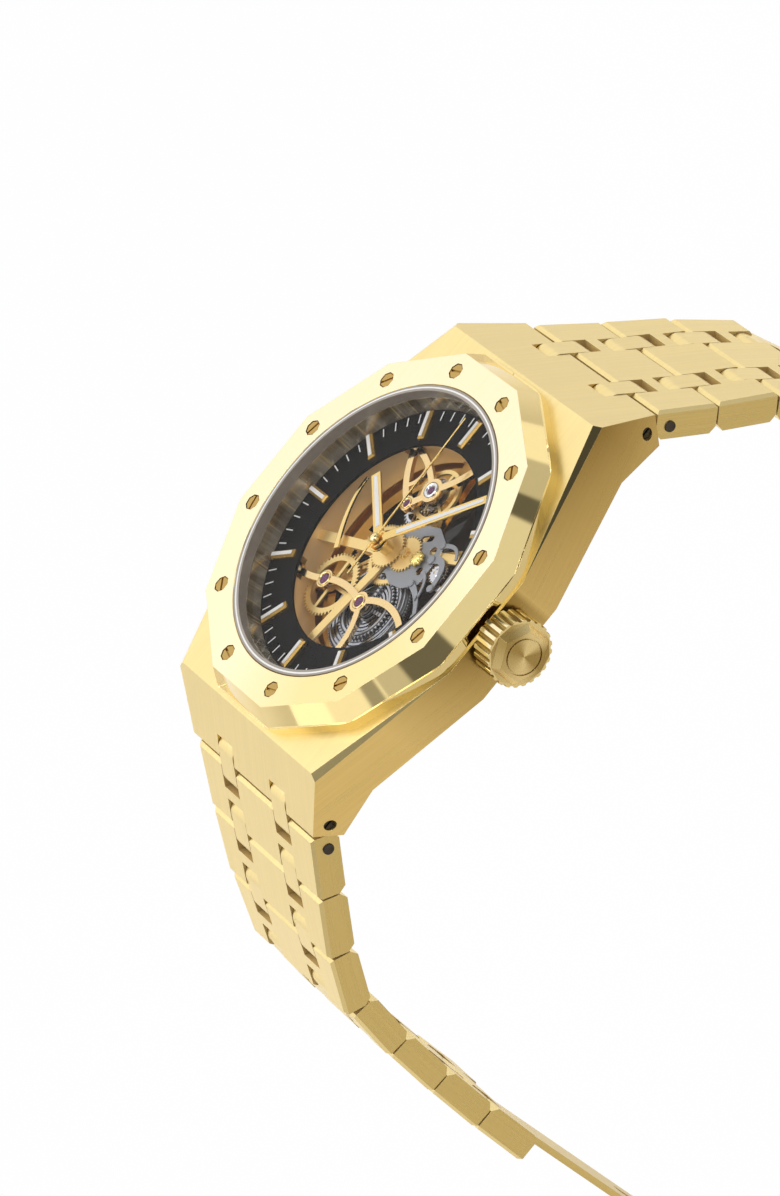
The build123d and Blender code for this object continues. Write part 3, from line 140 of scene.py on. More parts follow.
# ================================================================== shader building blocks
class Shader:
    """A node material being built.  Its methods return an output socket unless they say otherwise."""

    def __init__(self, name):
        self.material = bpy.data.materials.new(name)
        self.material.use_nodes = True
        self.tree = self.material.node_tree
        self.tree.nodes.clear()
        self.output = self.tree.nodes.new("ShaderNodeOutputMaterial")

    def node(self, kind, **settings):
        """Add a node and return the node itself."""
        made = self.tree.nodes.new(kind)
        for key, value in settings.items():
            setattr(made, key, value)
        return made

    def feed(self, socket, value):
        """Link a socket to an output, or set its value."""
        if isinstance(value, bpy.types.NodeSocket):
            self.tree.links.new(value, socket)
        else:
            socket.default_value = value

    def math(self, operation, a, b=0.0, clamp=False):
        made = self.node("ShaderNodeMath", operation=operation, use_clamp=clamp)
        self.feed(made.inputs[0], a)
        self.feed(made.inputs[1], b)
        return made.outputs[0]

    def axes(self):
        """Object-space x, y and z."""
        coords = self.node("ShaderNodeTexCoord")
        split = self.node("ShaderNodeSeparateXYZ")
        self.tree.links.new(coords.outputs["Object"], split.inputs[0])
        return split.outputs

    def join(self, x, y, z):
        made = self.node("ShaderNodeCombineXYZ")
        for socket, value in zip(made.inputs, (x, y, z)):
            self.feed(socket, value)
        return made.outputs[0]

    def stretched(self, parts, scales):
        """A vector whose parts are scaled apart, so that noise on it draws out into streaks."""
        return self.join(*(self.math("MULTIPLY", part, scale) for part, scale in zip(parts, scales)))

    def hypot(self, a, b):
        return self.math("SQRT", self.math("ADD", self.math("MULTIPLY", a, a), self.math("MULTIPLY", b, b)))

    def noise(self, vector, scale, detail=2.0, rough=0.5):
        made = self.node("ShaderNodeTexNoise")
        self.feed(made.inputs["Scale"], scale)
        self.feed(made.inputs["Detail"], detail)
        self.feed(made.inputs["Roughness"], rough)
        if vector is not None:
            self.feed(made.inputs["Vector"], vector)
        return made.outputs["Fac"]

    def lines(self, parts, scales):
        """Brush lines: fine noise drawn out along the axes of low scale."""
        return self.noise(self.stretched(parts, scales), 1.0, 3.0, 0.7)

    def ramp(self, value, start, end, low, high):
        """low up to start, high beyond end, straight between."""
        made = self.node("ShaderNodeMapRange")
        numbers = {"Value": value, "From Min": start, "From Max": end, "To Min": low, "To Max": high}
        for key, number in numbers.items():
            self.feed(made.inputs[key], number)
        return made.outputs[0]

    def span(self, value, low, high):
        """Map 0..1 to low..high."""
        return self.ramp(value, 0.0, 1.0, low, high)

    def ease(self, value, start, end):
        """0 at start, 1 at end, with a soft run between."""
        made = self.node("ShaderNodeMapRange", interpolation_type="SMOOTHSTEP")
        for key, number in (("Value", value), ("From Min", start), ("From Max", end)):
            self.feed(made.inputs[key], number)
        return made.outputs[0]

    def blend(self, factor, a, b):
        made = self.node("ShaderNodeMix", data_type="RGBA")
        self.feed(made.inputs[0], factor)
        self.feed(made.inputs[6], a)
        self.feed(made.inputs[7], b)
        return made.outputs[2]

    def bump(self, height, strength, distance, edge=0.0):
        """A normal from a height, with edges that look rounded to the radius edge."""
        made = self.node("ShaderNodeBump")
        self.feed(made.inputs["Strength"], strength)
        self.feed(made.inputs["Distance"], distance)
        self.feed(made.inputs["Height"], height)
        if edge:
            rounded = self.node("ShaderNodeBevel", samples=4)
            self.feed(rounded.inputs["Radius"], edge)
            self.tree.links.new(rounded.outputs[0], made.inputs["Normal"])
        return made.outputs[0]

    def vector(self, operation, a, b=(0.0, 0.0, 0.0), scale=None):
        made = self.node("ShaderNodeVectorMath", operation=operation)
        self.feed(made.inputs[0], a)
        if operation != "NORMALIZE":
            self.feed(made.inputs[1], b)
        if scale is not None:
            self.feed(made.inputs["Scale"], scale)
        return made.outputs["Value"] if operation == "DOT_PRODUCT" else made.outputs[0]

    def crowned(self, normal, x, y, amount):
        """Turn a facet's normal towards the radial direction, so that it mirrors like a rounded one."""
        radial = self.vector("NORMALIZE", self.join(x, y, 0.0))
        level = self.vector("NORMALIZE", self.vector("MULTIPLY", normal, (1.0, 1.0, 0.0)))
        outward = self.math("GREATER_THAN", self.vector("DOT_PRODUCT", radial, level), 0.8)
        share = self.math("MULTIPLY", outward, amount)
        turn = self.vector("SCALE", self.vector("SUBTRACT", radial, level), scale=share)
        return self.vector("NORMALIZE", self.vector("ADD", normal, turn))

    def mix(self, share, a, b):
        """Mix two shader nodes and return the mixing node."""
        made = self.node("ShaderNodeMixShader")
        self.feed(made.inputs[0], share)
        self.tree.links.new(a.outputs[0], made.inputs[1])
        self.tree.links.new(b.outputs[0], made.inputs[2])
        return made

    def close(self, shader):
        """Give the material its shader node and return the material."""
        self.tree.links.new(shader.outputs[0], self.output.inputs[0])
        return self.material

    def sheet(self, tone, mirror, roughness):
        """Close as a clear sheet, see-through in a tone, with a share that mirrors."""
        see = self.node("ShaderNodeBsdfTransparent")
        self.feed(see.inputs[0], tone)
        shine = self.node("ShaderNodeBsdfGlossy")
        self.feed(shine.inputs["Roughness"], roughness)
        return self.close(self.mix(mirror, see, shine))

    def surface(self, color, metallic, roughness, normal, **extra):
        """Close as an opaque surface."""
        made = self.node("ShaderNodeBsdfPrincipled")
        inputs = {"Base Color": color, "Metallic": metallic, "Roughness": roughness, "Normal": normal}
        inputs.update({key.replace("_", " "): value for key, value in extra.items()})
        for key, value in inputs.items():
            self.feed(made.inputs[key], value)
        return self.close(made)


def rgb(r, g, b):
    return (r, g, b, 1.0)


def darker(color, share):
    return [c * share for c in color[:3]] + [1.0]


GOLD = rgb(0.95, 0.765, 0.36)
# a darker copy of GOLD: painted shade on the links' flanks
GOLD_SHADED_FLANK = rgb(0.80, 0.61, 0.235)
GOLD_DEEP = rgb(0.55, 0.37, 0.12)
GOLD_GLINT = rgb(1.0, 0.82, 0.42)
GOLD_LINE = rgb(0.80, 0.62, 0.28)
# GOLD_SHADE: painted shade colour of the links' hidden walls and ends, also the colour of the crown cap's
# turned lines
GOLD_SHADE = rgb(0.62, 0.46, 0.20)
ROSE = rgb(0.90, 0.66, 0.38)
GILT = rgb(0.95, 0.70, 0.28)
GILT_BRIDGE = rgb(0.92, 0.68, 0.33)
INDEX_GOLD = rgb(0.90, 0.64, 0.22)
STEEL = rgb(0.66, 0.67, 0.70)

# noise cells: per metre, except RAYS per radian
FINE = 2600.0               # brush lines across the grain
LONG = 45.0                 # the same along the grain
RAYS = 90.0                 # brush lines round an axis


# ================================================================== materials
def brushed(name, color, grain, roughness=(0.24, 0.42), edge=0.06 * MM):
    """Brushed metal: lines packed along "x", round the z axis ("radial") or up a link's flank ("side")."""
    s = Shader(name)
    x, y, z = s.axes()
    if grain == "x":
        lines = s.lines((x, y, z), (FINE, LONG, LONG))
    elif grain == "side":
        lift = s.node("ShaderNodeAttribute", attribute_type="OBJECT", attribute_name="thickness_axis")
        height = s.vector("DOT_PRODUCT", s.join(x, y, z), lift.outputs["Vector"])
        lines = s.lines((y, z, height), (LONG, LONG, FINE))
    else:
        lines = s.lines((s.math("ARCTAN2", y, x), s.hypot(x, y), 0.0), (RAYS, LONG, 1.0))
    wear = s.noise(s.join(x, y, z), 320.0, 2.0)
    tone = s.blend(s.span(lines, -0.4, 1.4), darker(color, 0.9), color)
    rough = s.math("ADD", s.span(lines, *roughness), s.span(wear, -0.03, 0.03))
    return s.surface(tone, 1.0, rough, s.bump(lines, 0.22, 0.02 * MM, edge))


def flank(name, color, dark):
    """Case flank brushed along the case, darker in painted shade under the bezel and on either side of the
    crown, with broad painted glints.
    """
    s = Shader(name)
    x, y, z = s.axes()
    lines = s.lines((x, y, z), (LONG, 40.0, 3200.0))
    painted_glint_streaks = s.noise(s.stretched((0.0, y, z), (1.0, 25.0, 700.0)), 1.0, 2.0)
    past_crown = s.ramp(y, 4 * MM, 5 * MM, 0.0, 1.0)
    before_crown = s.ramp(y, 4 * MM, 5 * MM, 1.0, 0.0)
    toward_12 = s.math("MULTIPLY", past_crown, s.ramp(y, 5 * MM, 22 * MM, 0.3, 1.0))
    toward_6 = s.math("MULTIPLY", before_crown, s.ramp(y, -14 * MM, -4 * MM, 0.0, 0.85))
    upper = s.ramp(z, CASE_TOP - 7 * MM, CASE_TOP, 0.45, 1.0)
    painted_flank_shade = s.math("MULTIPLY", s.math("MAXIMUM", toward_12, toward_6), upper)
    tone = s.blend(s.span(lines, -0.5, 1.5), darker(color, 0.86), color)
    # painted glints: broad streaks blended towards the pale GOLD_GLINT
    tone = s.blend(s.span(painted_glint_streaks, 0.0, 0.2), tone, GOLD_GLINT)
    # painted shade: the dark tone laid over the flank towards 12 o'clock and 6 o'clock, strongest high up
    tone = s.blend(painted_flank_shade, tone, dark)
    return s.surface(tone, 1.0, s.span(lines, 0.22, 0.36), s.bump(lines, 0.16, 0.02 * MM, 0.05 * MM))


def bezel_face(name, pale, deep):
    """Bezel top brushed from 12 to 6, in a pale tone that is a painted highlight, with painted shade between
    4 and 5 o'clock.
    """
    s = Shader(name)
    x, y, z = s.axes()
    lines = s.lines((x, y, z), (FINE, LONG, LONG))
    # painted shade centred on this angle, between 4 and 5 o'clock
    painted_shade_at = -0.75             # radians from 3 o'clock
    off = s.math("ABSOLUTE", s.math("SUBTRACT", s.math("ARCTAN2", y, x), painted_shade_at))
    tone = s.blend(s.ramp(off, 0.3, 1.0, 0.85, 0.0), pale, deep)
    tone = s.blend(s.span(lines, 0.0, 0.22), tone, GOLD_LINE)
    return s.surface(tone, 1.0, s.span(lines, 0.24, 0.4), s.bump(lines, 0.2, 0.02 * MM, 0.06 * MM))


def cone_cap(name, dark, light, line):
    """Crown end turned in fine circles, with painted highlight and painted shade in fans about the crown's
    own axis.
    """
    s = Shader(name)
    x, y, z = s.axes()
    dy, dz = s.math("SUBTRACT", y, CROWN_Y), s.math("SUBTRACT", z, CROWN_Z)
    angle = s.math("ARCTAN2", dz, dy)
    # painted sheen: light and dark fans by angle about the crown's axis
    pairs = s.math("COSINE", s.math("ADD", s.math("MULTIPLY", angle, 2.0), -0.6))
    threes = s.math("COSINE", s.math("MULTIPLY", angle, 3.0))
    painted_sheen_fan = s.math("ADD", pairs, s.math("MULTIPLY", threes, 0.45))
    rings = s.noise(s.stretched((s.hypot(dy, dz), angle, 0.0), (5200.0, 3.0, 1.0)), 1.0, 2.0)
    tone = s.blend(s.ramp(painted_sheen_fan, -0.8, 1.0, 0.0, 1.0), dark, light)
    tone = s.blend(s.span(rings, 0.0, 0.35), tone, line)
    return s.surface(tone, 1.0, s.span(rings, 0.2, 0.36), s.bump(rings, 0.12, 0.01 * MM, 0.05 * MM))


def streaked(name, pale, dark, bright):
    """Turned flange that mirrors the dial, with that painted on: bronze with upright streaks of painted dark
    reflection and painted golden highlight.
    """
    s = Shader(name)
    x, y, z = s.axes()
    angle = s.math("ARCTAN2", y, x)
    painted_reflection_columns = s.noise(s.stretched((angle, z, 0.0), (9.0, 60.0, 1.0)), 1.0, 3.0, 0.6)
    narrow = s.noise(s.stretched((angle, z, 4.0), (46.0, 90.0, 1.0)), 1.0, 2.0)
    tone = s.blend(s.ramp(painted_reflection_columns, 0.38, 0.62, 0.0, 1.0), dark, pale)
    # painted golden highlights in narrow streaks
    tone = s.blend(s.ramp(narrow, 0.60, 0.68, 0.0, 0.7), tone, bright)
    return s.surface(tone, 0.6, s.span(narrow, 0.16, 0.3), s.bump(narrow, 0.04, 0.02 * MM))


def polished(name, color, roughness=0.07, edge=0.05 * MM, waviness=0.05, crown=0.0):
    """Mirror-polished metal with faint hairlines; crown rounds flat facets about the z axis."""
    s = Shader(name)
    x, y, z = s.axes()
    where = s.join(x, y, z)
    haze = s.noise(where, 900.0, 3.0)
    wave = s.noise(where, 160.0, 1.0)
    tone = s.blend(haze, darker(color, 0.95), color)
    rough = s.span(haze, roughness * 0.6, roughness * 1.5)
    normal = s.bump(wave, waviness, 0.2 * MM, edge)
    if crown:
        normal = s.crowned(normal, x, y, crown)
    return s.surface(tone, 1.0, rough, normal)


def satin(name, color, metallic, roughness):
    """Soft-lit plated metal that never mirrors sharply."""
    s = Shader(name)
    where = s.join(*s.axes())
    cloud = s.noise(where, 260.0, 3.0)
    fine = s.noise(where, 3500.0, 2.0)
    tone = s.blend(cloud, darker(color, 0.86), color)
    rough = s.span(fine, roughness * 0.85, roughness * 1.15)
    return s.surface(tone, metallic, rough, s.bump(fine, 0.05, 0.01 * MM))


def coiled(name, centre, pitch, light, dark):
    """Spring coils seen edge on, painted on a flat face: steel turns with a painted highlight on each crest
    and painted shade in the dark gaps, ringed about an upright axis.
    """
    s = Shader(name)
    x, y, z = s.axes()
    radius = s.hypot(s.math("SUBTRACT", x, centre.x), s.math("SUBTRACT", y, centre.y))
    turn = s.math("FRACT", s.math("DIVIDE", radius, pitch))
    # painted shading of a round-backed turn: a painted highlight on its crest, falling off to painted shade
    # in the gap
    painted_turn_shading = s.math("SINE", s.math("MULTIPLY", turn, math.pi))
    fine = s.noise(s.join(x, y, z), 1200.0, 2.0)
    tone = s.blend(s.ramp(painted_turn_shading, 0.45, 0.8, 0.0, 1.0), dark, light)
    return s.surface(tone, 0.35, s.span(fine, 0.34, 0.42), s.bump(fine, 0.02, 0.01 * MM))


def back_glass(name, clear_tone, shaded_tone):
    """Back crystal: clear from behind; from the dial side it is tinted dark, painted shade for the space
    under the watch.
    """
    s = Shader(name)
    split = s.node("ShaderNodeSeparateXYZ")
    s.tree.links.new(s.node("ShaderNodeNewGeometry").outputs["Incoming"], split.inputs[0])
    from_above = s.math("GREATER_THAN", split.outputs["Z"], 0.0)
    fine = s.noise(None, 80.0, 2.0)
    return s.sheet(s.blend(from_above, clear_tone, shaded_tone), 0.05, s.span(fine, 0.02, 0.06))


def clear(name, tone, strength):
    """Clear sapphire seen as a thin sheet: see-through, with a Fresnel reflection."""
    s = Shader(name)
    fresnel = s.node("ShaderNodeFresnel")
    fresnel.inputs["IOR"].default_value = 1.45
    smudge = s.noise(None, 60.0, 2.0)
    mirror = s.math("MULTIPLY", fresnel.outputs[0], strength, clamp=True)
    return s.sheet(tone, mirror, s.span(smudge, 0.01, 0.04))


def gasket_material(name, low, high, painted_highlight_tone):
    """Grey gasket with a thin painted highlight along its crest."""
    s = Shader(name)
    x, y, z = s.axes()
    off_crest = s.math("ABSOLUTE", s.math("SUBTRACT", s.hypot(x, y), GASKET_CREST_R))
    painted_crest_highlight = s.math("LESS_THAN", off_crest, GASKET_CREST_HALF)
    fine = s.noise(s.join(x, y, z), 1500.0, 3.0)
    # painted highlight: a thin pale band along the crest
    tone = s.blend(painted_crest_highlight, s.blend(fine, low, high), painted_highlight_tone)
    return s.surface(tone, 0.0, s.span(fine, 0.3, 0.4), s.bump(fine, 0.1, 0.01 * MM))


def dielectric(name, low, high, scale, roughness, bump=0.1, **extra):
    """Painted, rubber or plastic surface with a fine mottle."""
    s = Shader(name)
    grain = s.noise(s.join(*s.axes()), scale, 4.0)
    tone = s.blend(grain, low, high)
    rough = s.span(grain, roughness * 0.85, roughness * 1.15)
    return s.surface(tone, 0.0, rough, s.bump(grain, bump, 0.01 * MM), **extra)


MAT = {
    "gold_top": brushed("gold_brushed_lengthwise", GOLD, "x"),
    # case flank: its last tone is the dark of the painted shade
    "gold_side": flank("gold_brushed_flank", rgb(0.97, 0.70, 0.25), rgb(0.34, 0.21, 0.05)),
    # bezel top: a pale painted-highlight tone and a darker painted-shade tone
    "bezel_top": bezel_face("gold_brushed_bezel", rgb(1.0, 0.89, 0.62), rgb(0.93, 0.72, 0.32)),
    # crown cap: painted-shade and painted-highlight tones for its fans
    "crown_cap": cone_cap("gold_turned_cap", rgb(0.42, 0.28, 0.08), rgb(1.0, 0.80, 0.38), GOLD_SHADE),
    # link flanks: their gold is a darker painted-shade copy
    "link_side": brushed("gold_brushed_link_flank", GOLD_SHADED_FLANK, "side", (0.20, 0.36)),
    "gold_radial": brushed("gold_brushed_sunray", GOLD, "radial", (0.2, 0.34)),
    "gold_polish": polished("gold_polished", GOLD),
    "gold_bezel": polished("gold_polished_bezel", GOLD, 0.06, 0.05 * MM, 0.04, crown=0.95),
    "gold_deep": polished("gold_polished_deep", GOLD_DEEP, 0.14),
    # crown flutes: a painted-shade copy of the gold for the grooves, a painted-highlight copy for the crests
    "painted_groove_shade": polished("gold_groove", rgb(0.36, 0.24, 0.07), 0.2),
    "painted_crest_highlight": polished("gold_crest", rgb(1.0, 0.88, 0.56), 0.1),
    "rose": polished("rose_gilt_polished", ROSE, 0.12, 0.04 * MM),
    "rose_wall": satin("rose_gilt_wall", rgb(1.0, 0.73, 0.40), 0.35, 0.34),
    # flange: pale bronze, painted dark reflection and painted golden highlight
    "flange": streaked("flange_turned", rgb(0.62, 0.55, 0.42), rgb(0.24, 0.20, 0.14), rgb(0.95, 0.72, 0.34)),
    "bridge": polished("gilt_bridge", GILT_BRIDGE, 0.16, 0.05 * MM),
    "wheel": satin("gilt_wheel", GILT, 0.72, 0.32),
    "index_gold": satin("gold_index", rgb(0.72, 0.46, 0.12), 0.85, 0.26),
    "hand_gold": polished("gold_polished_hand", INDEX_GOLD, 0.1, 0.04 * MM),
    "silver": polished("silver_chaton", rgb(0.80, 0.80, 0.82), 0.12, 0.03 * MM),
    # painted shade for the slots' hidden walls and the links' ends
    "shade": satin("gold_shaded", GOLD_SHADE, 0.45, 0.45),
    "gilt": brushed("gilt_circular_grain", GILT, "radial", (0.12, 0.28), 0.03 * MM),
    "gilt_polish": polished("gilt_polished", GILT, 0.1, 0.03 * MM),
    "steel": brushed("steel_grained", STEEL, "x", (0.12, 0.3), 0.03 * MM),
    "steel_polish": polished("steel_polished", STEEL, 0.08, 0.03 * MM),
    "spring": polished("spring_steel", rgb(0.42, 0.43, 0.46), 0.14, 0.0),
    # coils: painted-highlight and painted-shade tones of the drawn spring turns
    "coils": coiled("mainspring_coils", pivot("barrel_turn"), COIL_PITCH,
                    rgb(0.46, 0.47, 0.49), rgb(0.045, 0.045, 0.05)),
    "sapphire": clear("sapphire_clear", rgb(0.995, 0.995, 1.0), 0.03),
    # back crystal: the dark tint seen from above is painted shade
    "back_glass": back_glass("sapphire_back", rgb(0.97, 0.97, 0.98), rgb(0.10, 0.085, 0.07)),
    # gasket: the last tone is a painted highlight along its crest
    "gasket": gasket_material("gasket_grey", rgb(0.30, 0.27, 0.23), rgb(0.38, 0.34, 0.30),
                              rgb(0.86, 0.84, 0.82)),
    "rubber": dielectric("rubber_black", rgb(0.01, 0.01, 0.01), rgb(0.03, 0.03, 0.03), 2500.0, 0.6),
    # pit: near-black, painted shade for holes
    "painted_pit_shade": dielectric("pit_dark", rgb(0.02, 0.014, 0.008), rgb(0.05, 0.035, 0.015), 3000.0, 0.4),
    "dial": dielectric("dial_black_satin", rgb(0.0085, 0.008, 0.0078), rgb(0.0105, 0.010, 0.0095), 500.0, 0.5,
                       bump=0.0, Specular_IOR_Level=0.04),
    "lume": dielectric("lume_white", rgb(0.72, 0.71, 0.68), rgb(0.82, 0.81, 0.78), 6000.0, 0.5, 0.2),
    "print": dielectric("print_white", rgb(0.82, 0.82, 0.82), rgb(0.92, 0.92, 0.92), 8000.0, 0.45),
    "ruby": dielectric("ruby_polished", rgb(0.055, 0.006, 0.045), rgb(0.17, 0.02, 0.13), 2200.0, 0.08, 0.0),
    "lever": satin("steel_bead_blasted", rgb(0.30, 0.31, 0.33), 0.35, 0.4),
    "bright_gold": satin("gold_bright_satin", rgb(1.0, 0.78, 0.25), 0.8, 0.24),
}


# ================================================================== CAD nodes
SQUARE = 0.96                   # a normal this close to an axis counts as lying along it


def dress(node, *names, rule=None):
    """Give a CAD node its materials; rule(normal, centre) picks one of them for each face."""
    mesh = NODES[node].data
    mesh.materials.clear()
    for name in names:
        mesh.materials.append(MAT[name])
    for face in mesh.polygons:
        face.material_index = rule(face.normal, face.center) if rule else 0


def flat(normal, centre):
    """0 for faces that look along the z axis, 1 for the rest."""
    return 0 if abs(normal.z) > 0.9 else 1


def facing_up(normal, centre):
    return 0 if normal.z > 0.9 else 1


def facing_down(normal, centre):
    return 0 if normal.z < -0.9 else 1


def case_rule(normal, centre):
    """0 lengthwise brushing, 1 flank brushing, 2 polish."""
    if normal.z > 0.97 or (abs(normal.y) > 0.5 and normal.z > 0.5):
        return 0
    if abs(normal.z) < 0.2 and math.hypot(centre.x, centre.y) > CASE_WALL_R:
        return 1
    if normal.z > 0.6:
        return 2
    return 0


def bezel_rule(normal, centre):
    """0 top face, 1 facets."""
    return 0 if normal.z > 0.97 and centre.z > BEZEL_TOP - BEZEL_TOP_DEPTH else 1


def lug_pin_rule(normal, centre):
    """0 shaft, 1 head, dark as painted shade in its hole."""
    return 1 if abs(centre.x) > LUG_PIN_END - PIN_HEAD_DEPTH else 0


def crown_rule(normal, centre):
    """0 cap edge and inner end, 1 end cap, 2 flute grooves in painted shade, 3 flute crests with a painted
    highlight.
    """
    off = math.hypot(centre.y - CROWN_Y, centre.z - CROWN_Z)
    if normal.x > 0.5 and off < CROWN_CAP_R:
        return 1
    if abs(normal.x) > 0.3:
        return 0
    return 2 if off < CROWN_GROOVE_R else 3


def dress_link(node, start, end, outward_sign):
    """Brushed faces and flanks, polished bevels, and painted shade on the slot walls and link ends.  start
    and end are the link's two pin places.
    """
    along = (end - start).normalized()
    outward = Vector((outward_sign, 0, 0)).cross(along)
    NODES[node]["thickness_axis"] = [outward.x, outward.y, outward.z]
    flank_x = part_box(node)[1].x - LINK_FLANK_DEPTH

    def rule(normal, centre):
        """0 faces and stud roundings, 1 flanks, 2 bevels, 3 painted shade on the hidden walls of the slots
        and on the link ends.
        """
        endways = abs(normal.dot(along))
        if abs(normal.dot(outward)) > SQUARE or (abs(normal.x) < 0.05 and 0.1 < endways < SQUARE):
            return 0
        if abs(normal.x) > SQUARE:
            return 1 if abs(centre.x) > flank_x else 3
        return 3 if endways > SQUARE else 2

    dress(node, "gold_top", "link_side", "gold_polish", "shade", rule=rule)


def dress_bracelet():
    for tag, sign, final in (("12", 1, "clasp_cover_hinge"), ("6", -1, "clasp_inner_blade_hinge")):
        hinges = [f"link_{tag}_{k}_hinge" for k in range(1, 8)] + [final]
        for k in range(7):
            dress_link(f"link_{tag}_{k + 1}", pivot(hinges[k]), pivot(hinges[k + 1]), sign)
    down = Vector((0, 0, -1))
    for node, hinge, sign in (("clasp_cover", "clasp_cover_hinge", 1),
                              ("clasp_outer_blade", "clasp_cover_hinge", 1),
                              ("clasp_inner_blade", "clasp_inner_blade_hinge", -1)):
        dress_link(node, pivot(hinge), pivot(hinge) + down, sign)
    dress("clasp_button_crown_side", "gold_polish")
    dress("clasp_button_far_side", "gold_polish")


def dress_case():
    dress("case_middle", "gold_top", "gold_side", "gold_polish", rule=case_rule)
    dress("bezel", "bezel_top", "gold_bezel", rule=bezel_rule)
    dress("case_back", "gold_radial", "gold_polish", rule=facing_down)
    dress("flange_ring", "flange")
    dress("bezel_screws", "gold_deep")
    dress("lug_screws", "gold_deep", "painted_pit_shade", rule=lug_pin_rule)
    dress("crown", "gold_polish", "crown_cap", "painted_groove_shade", "painted_crest_highlight", rule=crown_rule)
    dress("crown_tube", "gold_polish")
    dress("crystal", "sapphire")
    dress("case_back_crystal", "back_glass")
    dress("crystal_gasket", "gasket")
    dress("crown_gasket", "rubber")
    dress("case_back_screws", "steel_polish")


def dress_movement():
    dress("dial_ring", "dial")
    dress("hour_indices", "index_gold")
    dress("movement_ring", "rose_wall")
    dress("main_plate", "wheel", "rose_wall", rule=flat)
    dress("train_bridge", "gilt", "rose", rule=flat)
    dress("rotor", "gilt", "gilt_polish", rule=facing_down)
    dress("keyless_plate", "lever", "steel_polish", rule=facing_up)
    dress("winding_stem", "steel")
    dress("jewels", "ruby")
    for name in ("barrel_bridge", "balance_cock"):
        dress(name, "bridge", "rose", rule=facing_up)
    for name in ("centre", "third", "fourth", "reduction", "minute", "hour", "balance"):
        dress(f"{name}_wheel", "wheel")
    for name in ("barrel", "ratchet_wheel"):
        dress(name, "coils", "lever", rule=facing_up)
    for name in ("escape_wheel", "pallet_fork", "bridge_screws"):
        dress(name, "steel_polish")
    for name in ("mainspring", "hairspring"):
        dress(name, "spring")
    for name in ("hour_hand", "minute_hand", "second_hand"):
        dress(name, "hand_gold")


# ================================================================== mesh building blocks
def piece(name, build, body, material, bevel=0.0, smooth=False):
    """Make a mesh piece with build(bmesh), bevel its edges, and ride it on a body."""
    mesh = bpy.data.meshes.new(name)
    shape = bmesh.new()
    build(shape)
    bmesh.ops.remove_doubles(shape, verts=shape.verts, dist=1e-7)
    bmesh.ops.recalc_face_normals(shape, faces=shape.faces)
    if bevel:
        sharp = [e for e in shape.edges if len(e.link_faces) == 2 and e.calc_face_angle() > 0.5]
        bmesh.ops.bevel(shape, geom=sharp, offset=bevel, segments=2, profile=0.7, affect="EDGES",
                        clamp_overlap=True)
    shape.to_mesh(mesh)
    shape.free()
    for face in mesh.polygons:
        face.use_smooth = smooth
    mesh.materials.append(MAT[material])
    made = bpy.data.objects.new(name, mesh)
    bpy.context.scene.collection.objects.link(made)
    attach(made, body)
    return made


def around(centre, radius, angle):
    """Plan point at a radius and angle about a centre."""
    return (centre[0] + radius * math.cos(angle), centre[1] + radius * math.sin(angle))


def circle_outline(centre, radius, count):
    return [around(centre, radius, 2 * math.pi * k / count) for k in range(count)]


def fluted_outline(centre, radius, depth, flutes, count=64):
    """Round plan outline with soft flutes."""
    points = []
    for k in range(count):
        angle = 2 * math.pi * k / count
        points.append(around(centre, radius - depth * (0.5 + 0.5 * math.cos(flutes * angle)), angle))
    return points


def toothed_outline(centre, root, tip, teeth):
    """Plan outline of a small wheel: each tooth is a trapezium."""
    points = []
    for k in range(teeth):
        for radius, shift in ((root, -0.3), (tip, -0.12), (tip, 0.12), (root, 0.3)):
            points.append(around(centre, radius, 2 * math.pi * (k + shift) / teeth))
    return points


def bar_outline(angle, start, end, width, end_width):
    """Plan outline of a straight bar that lies along a ray from the centre."""
    along = Vector((math.cos(angle), math.sin(angle)))
    across = Vector((-along.y, along.x))
    corners = ((start, -width / 2), (end, -end_width / 2), (end, end_width / 2), (start, width / 2))
    return [tuple(along * a + across * w) for a, w in corners]


def edges_of(path, widths):
    """The two sides of a curved strip that follows a plan path."""
    left, right = [], []
    for k, point in enumerate(path):
        ahead = Vector(path[min(k + 1, len(path) - 1)])
        behind = Vector(path[max(k - 1, 0)])
        run = (ahead - behind).normalized()
        across = Vector((-run.y, run.x)) * widths[k] / 2
        left.append(Vector(point) + across)
        right.append(Vector(point) - across)
    return left, right


def tapered_outline(path, wide, narrow):
    """Plan outline of a curved bar that narrows evenly along its path."""
    last = len(path) - 1
    left, right = edges_of(path, [wide + (narrow - wide) * k / last for k in range(len(path))])
    return [tuple(point) for point in left + list(reversed(right))]


def curve(start, middle, end, count=12):
    """Points of a smooth curve that bends towards a middle point; millimetres in, metres out."""
    points = []
    for k in range(count + 1):
        t = k / count
        points.append(tuple((a * (1 - t) ** 2 + 2 * b * t * (1 - t) + c * t * t) * MM
                            for a, b, c in zip(start, middle, end)))
    return points


def spiral(centre, radii, turns, steps=48):
    """Plan points of an even spiral from the inner to the outer radius; steps to a turn."""
    inner, outer = radii
    growth = (outer - inner) / (turns * steps)
    return [around(centre, inner + growth * k, 2 * math.pi * k / steps) for k in range(turns * steps + 1)]


def add_ring(shape, outline, z):
    return [shape.verts.new((x, y, z)) for x, y in outline]


def add_wall(shape, low, high):
    """Close the band between two rings of equally many points."""
    for k in range(len(low)):
        j = (k + 1) % len(low)
        shape.faces.new((low[k], low[j], high[j], high[k]))


def add_stack(shape, rings):
    """Solid through a stack of rings, closed flat at the bottom and the top."""
    for low, high in zip(rings, rings[1:]):
        add_wall(shape, low, high)
    shape.faces.new(list(reversed(rings[0])))
    shape.faces.new(rings[-1])


def add_prism(shape, outline, low, high):
    """Closed prism over a plan outline, from z = low to z = high."""
    add_stack(shape, [add_ring(shape, outline, low), add_ring(shape, outline, high)])


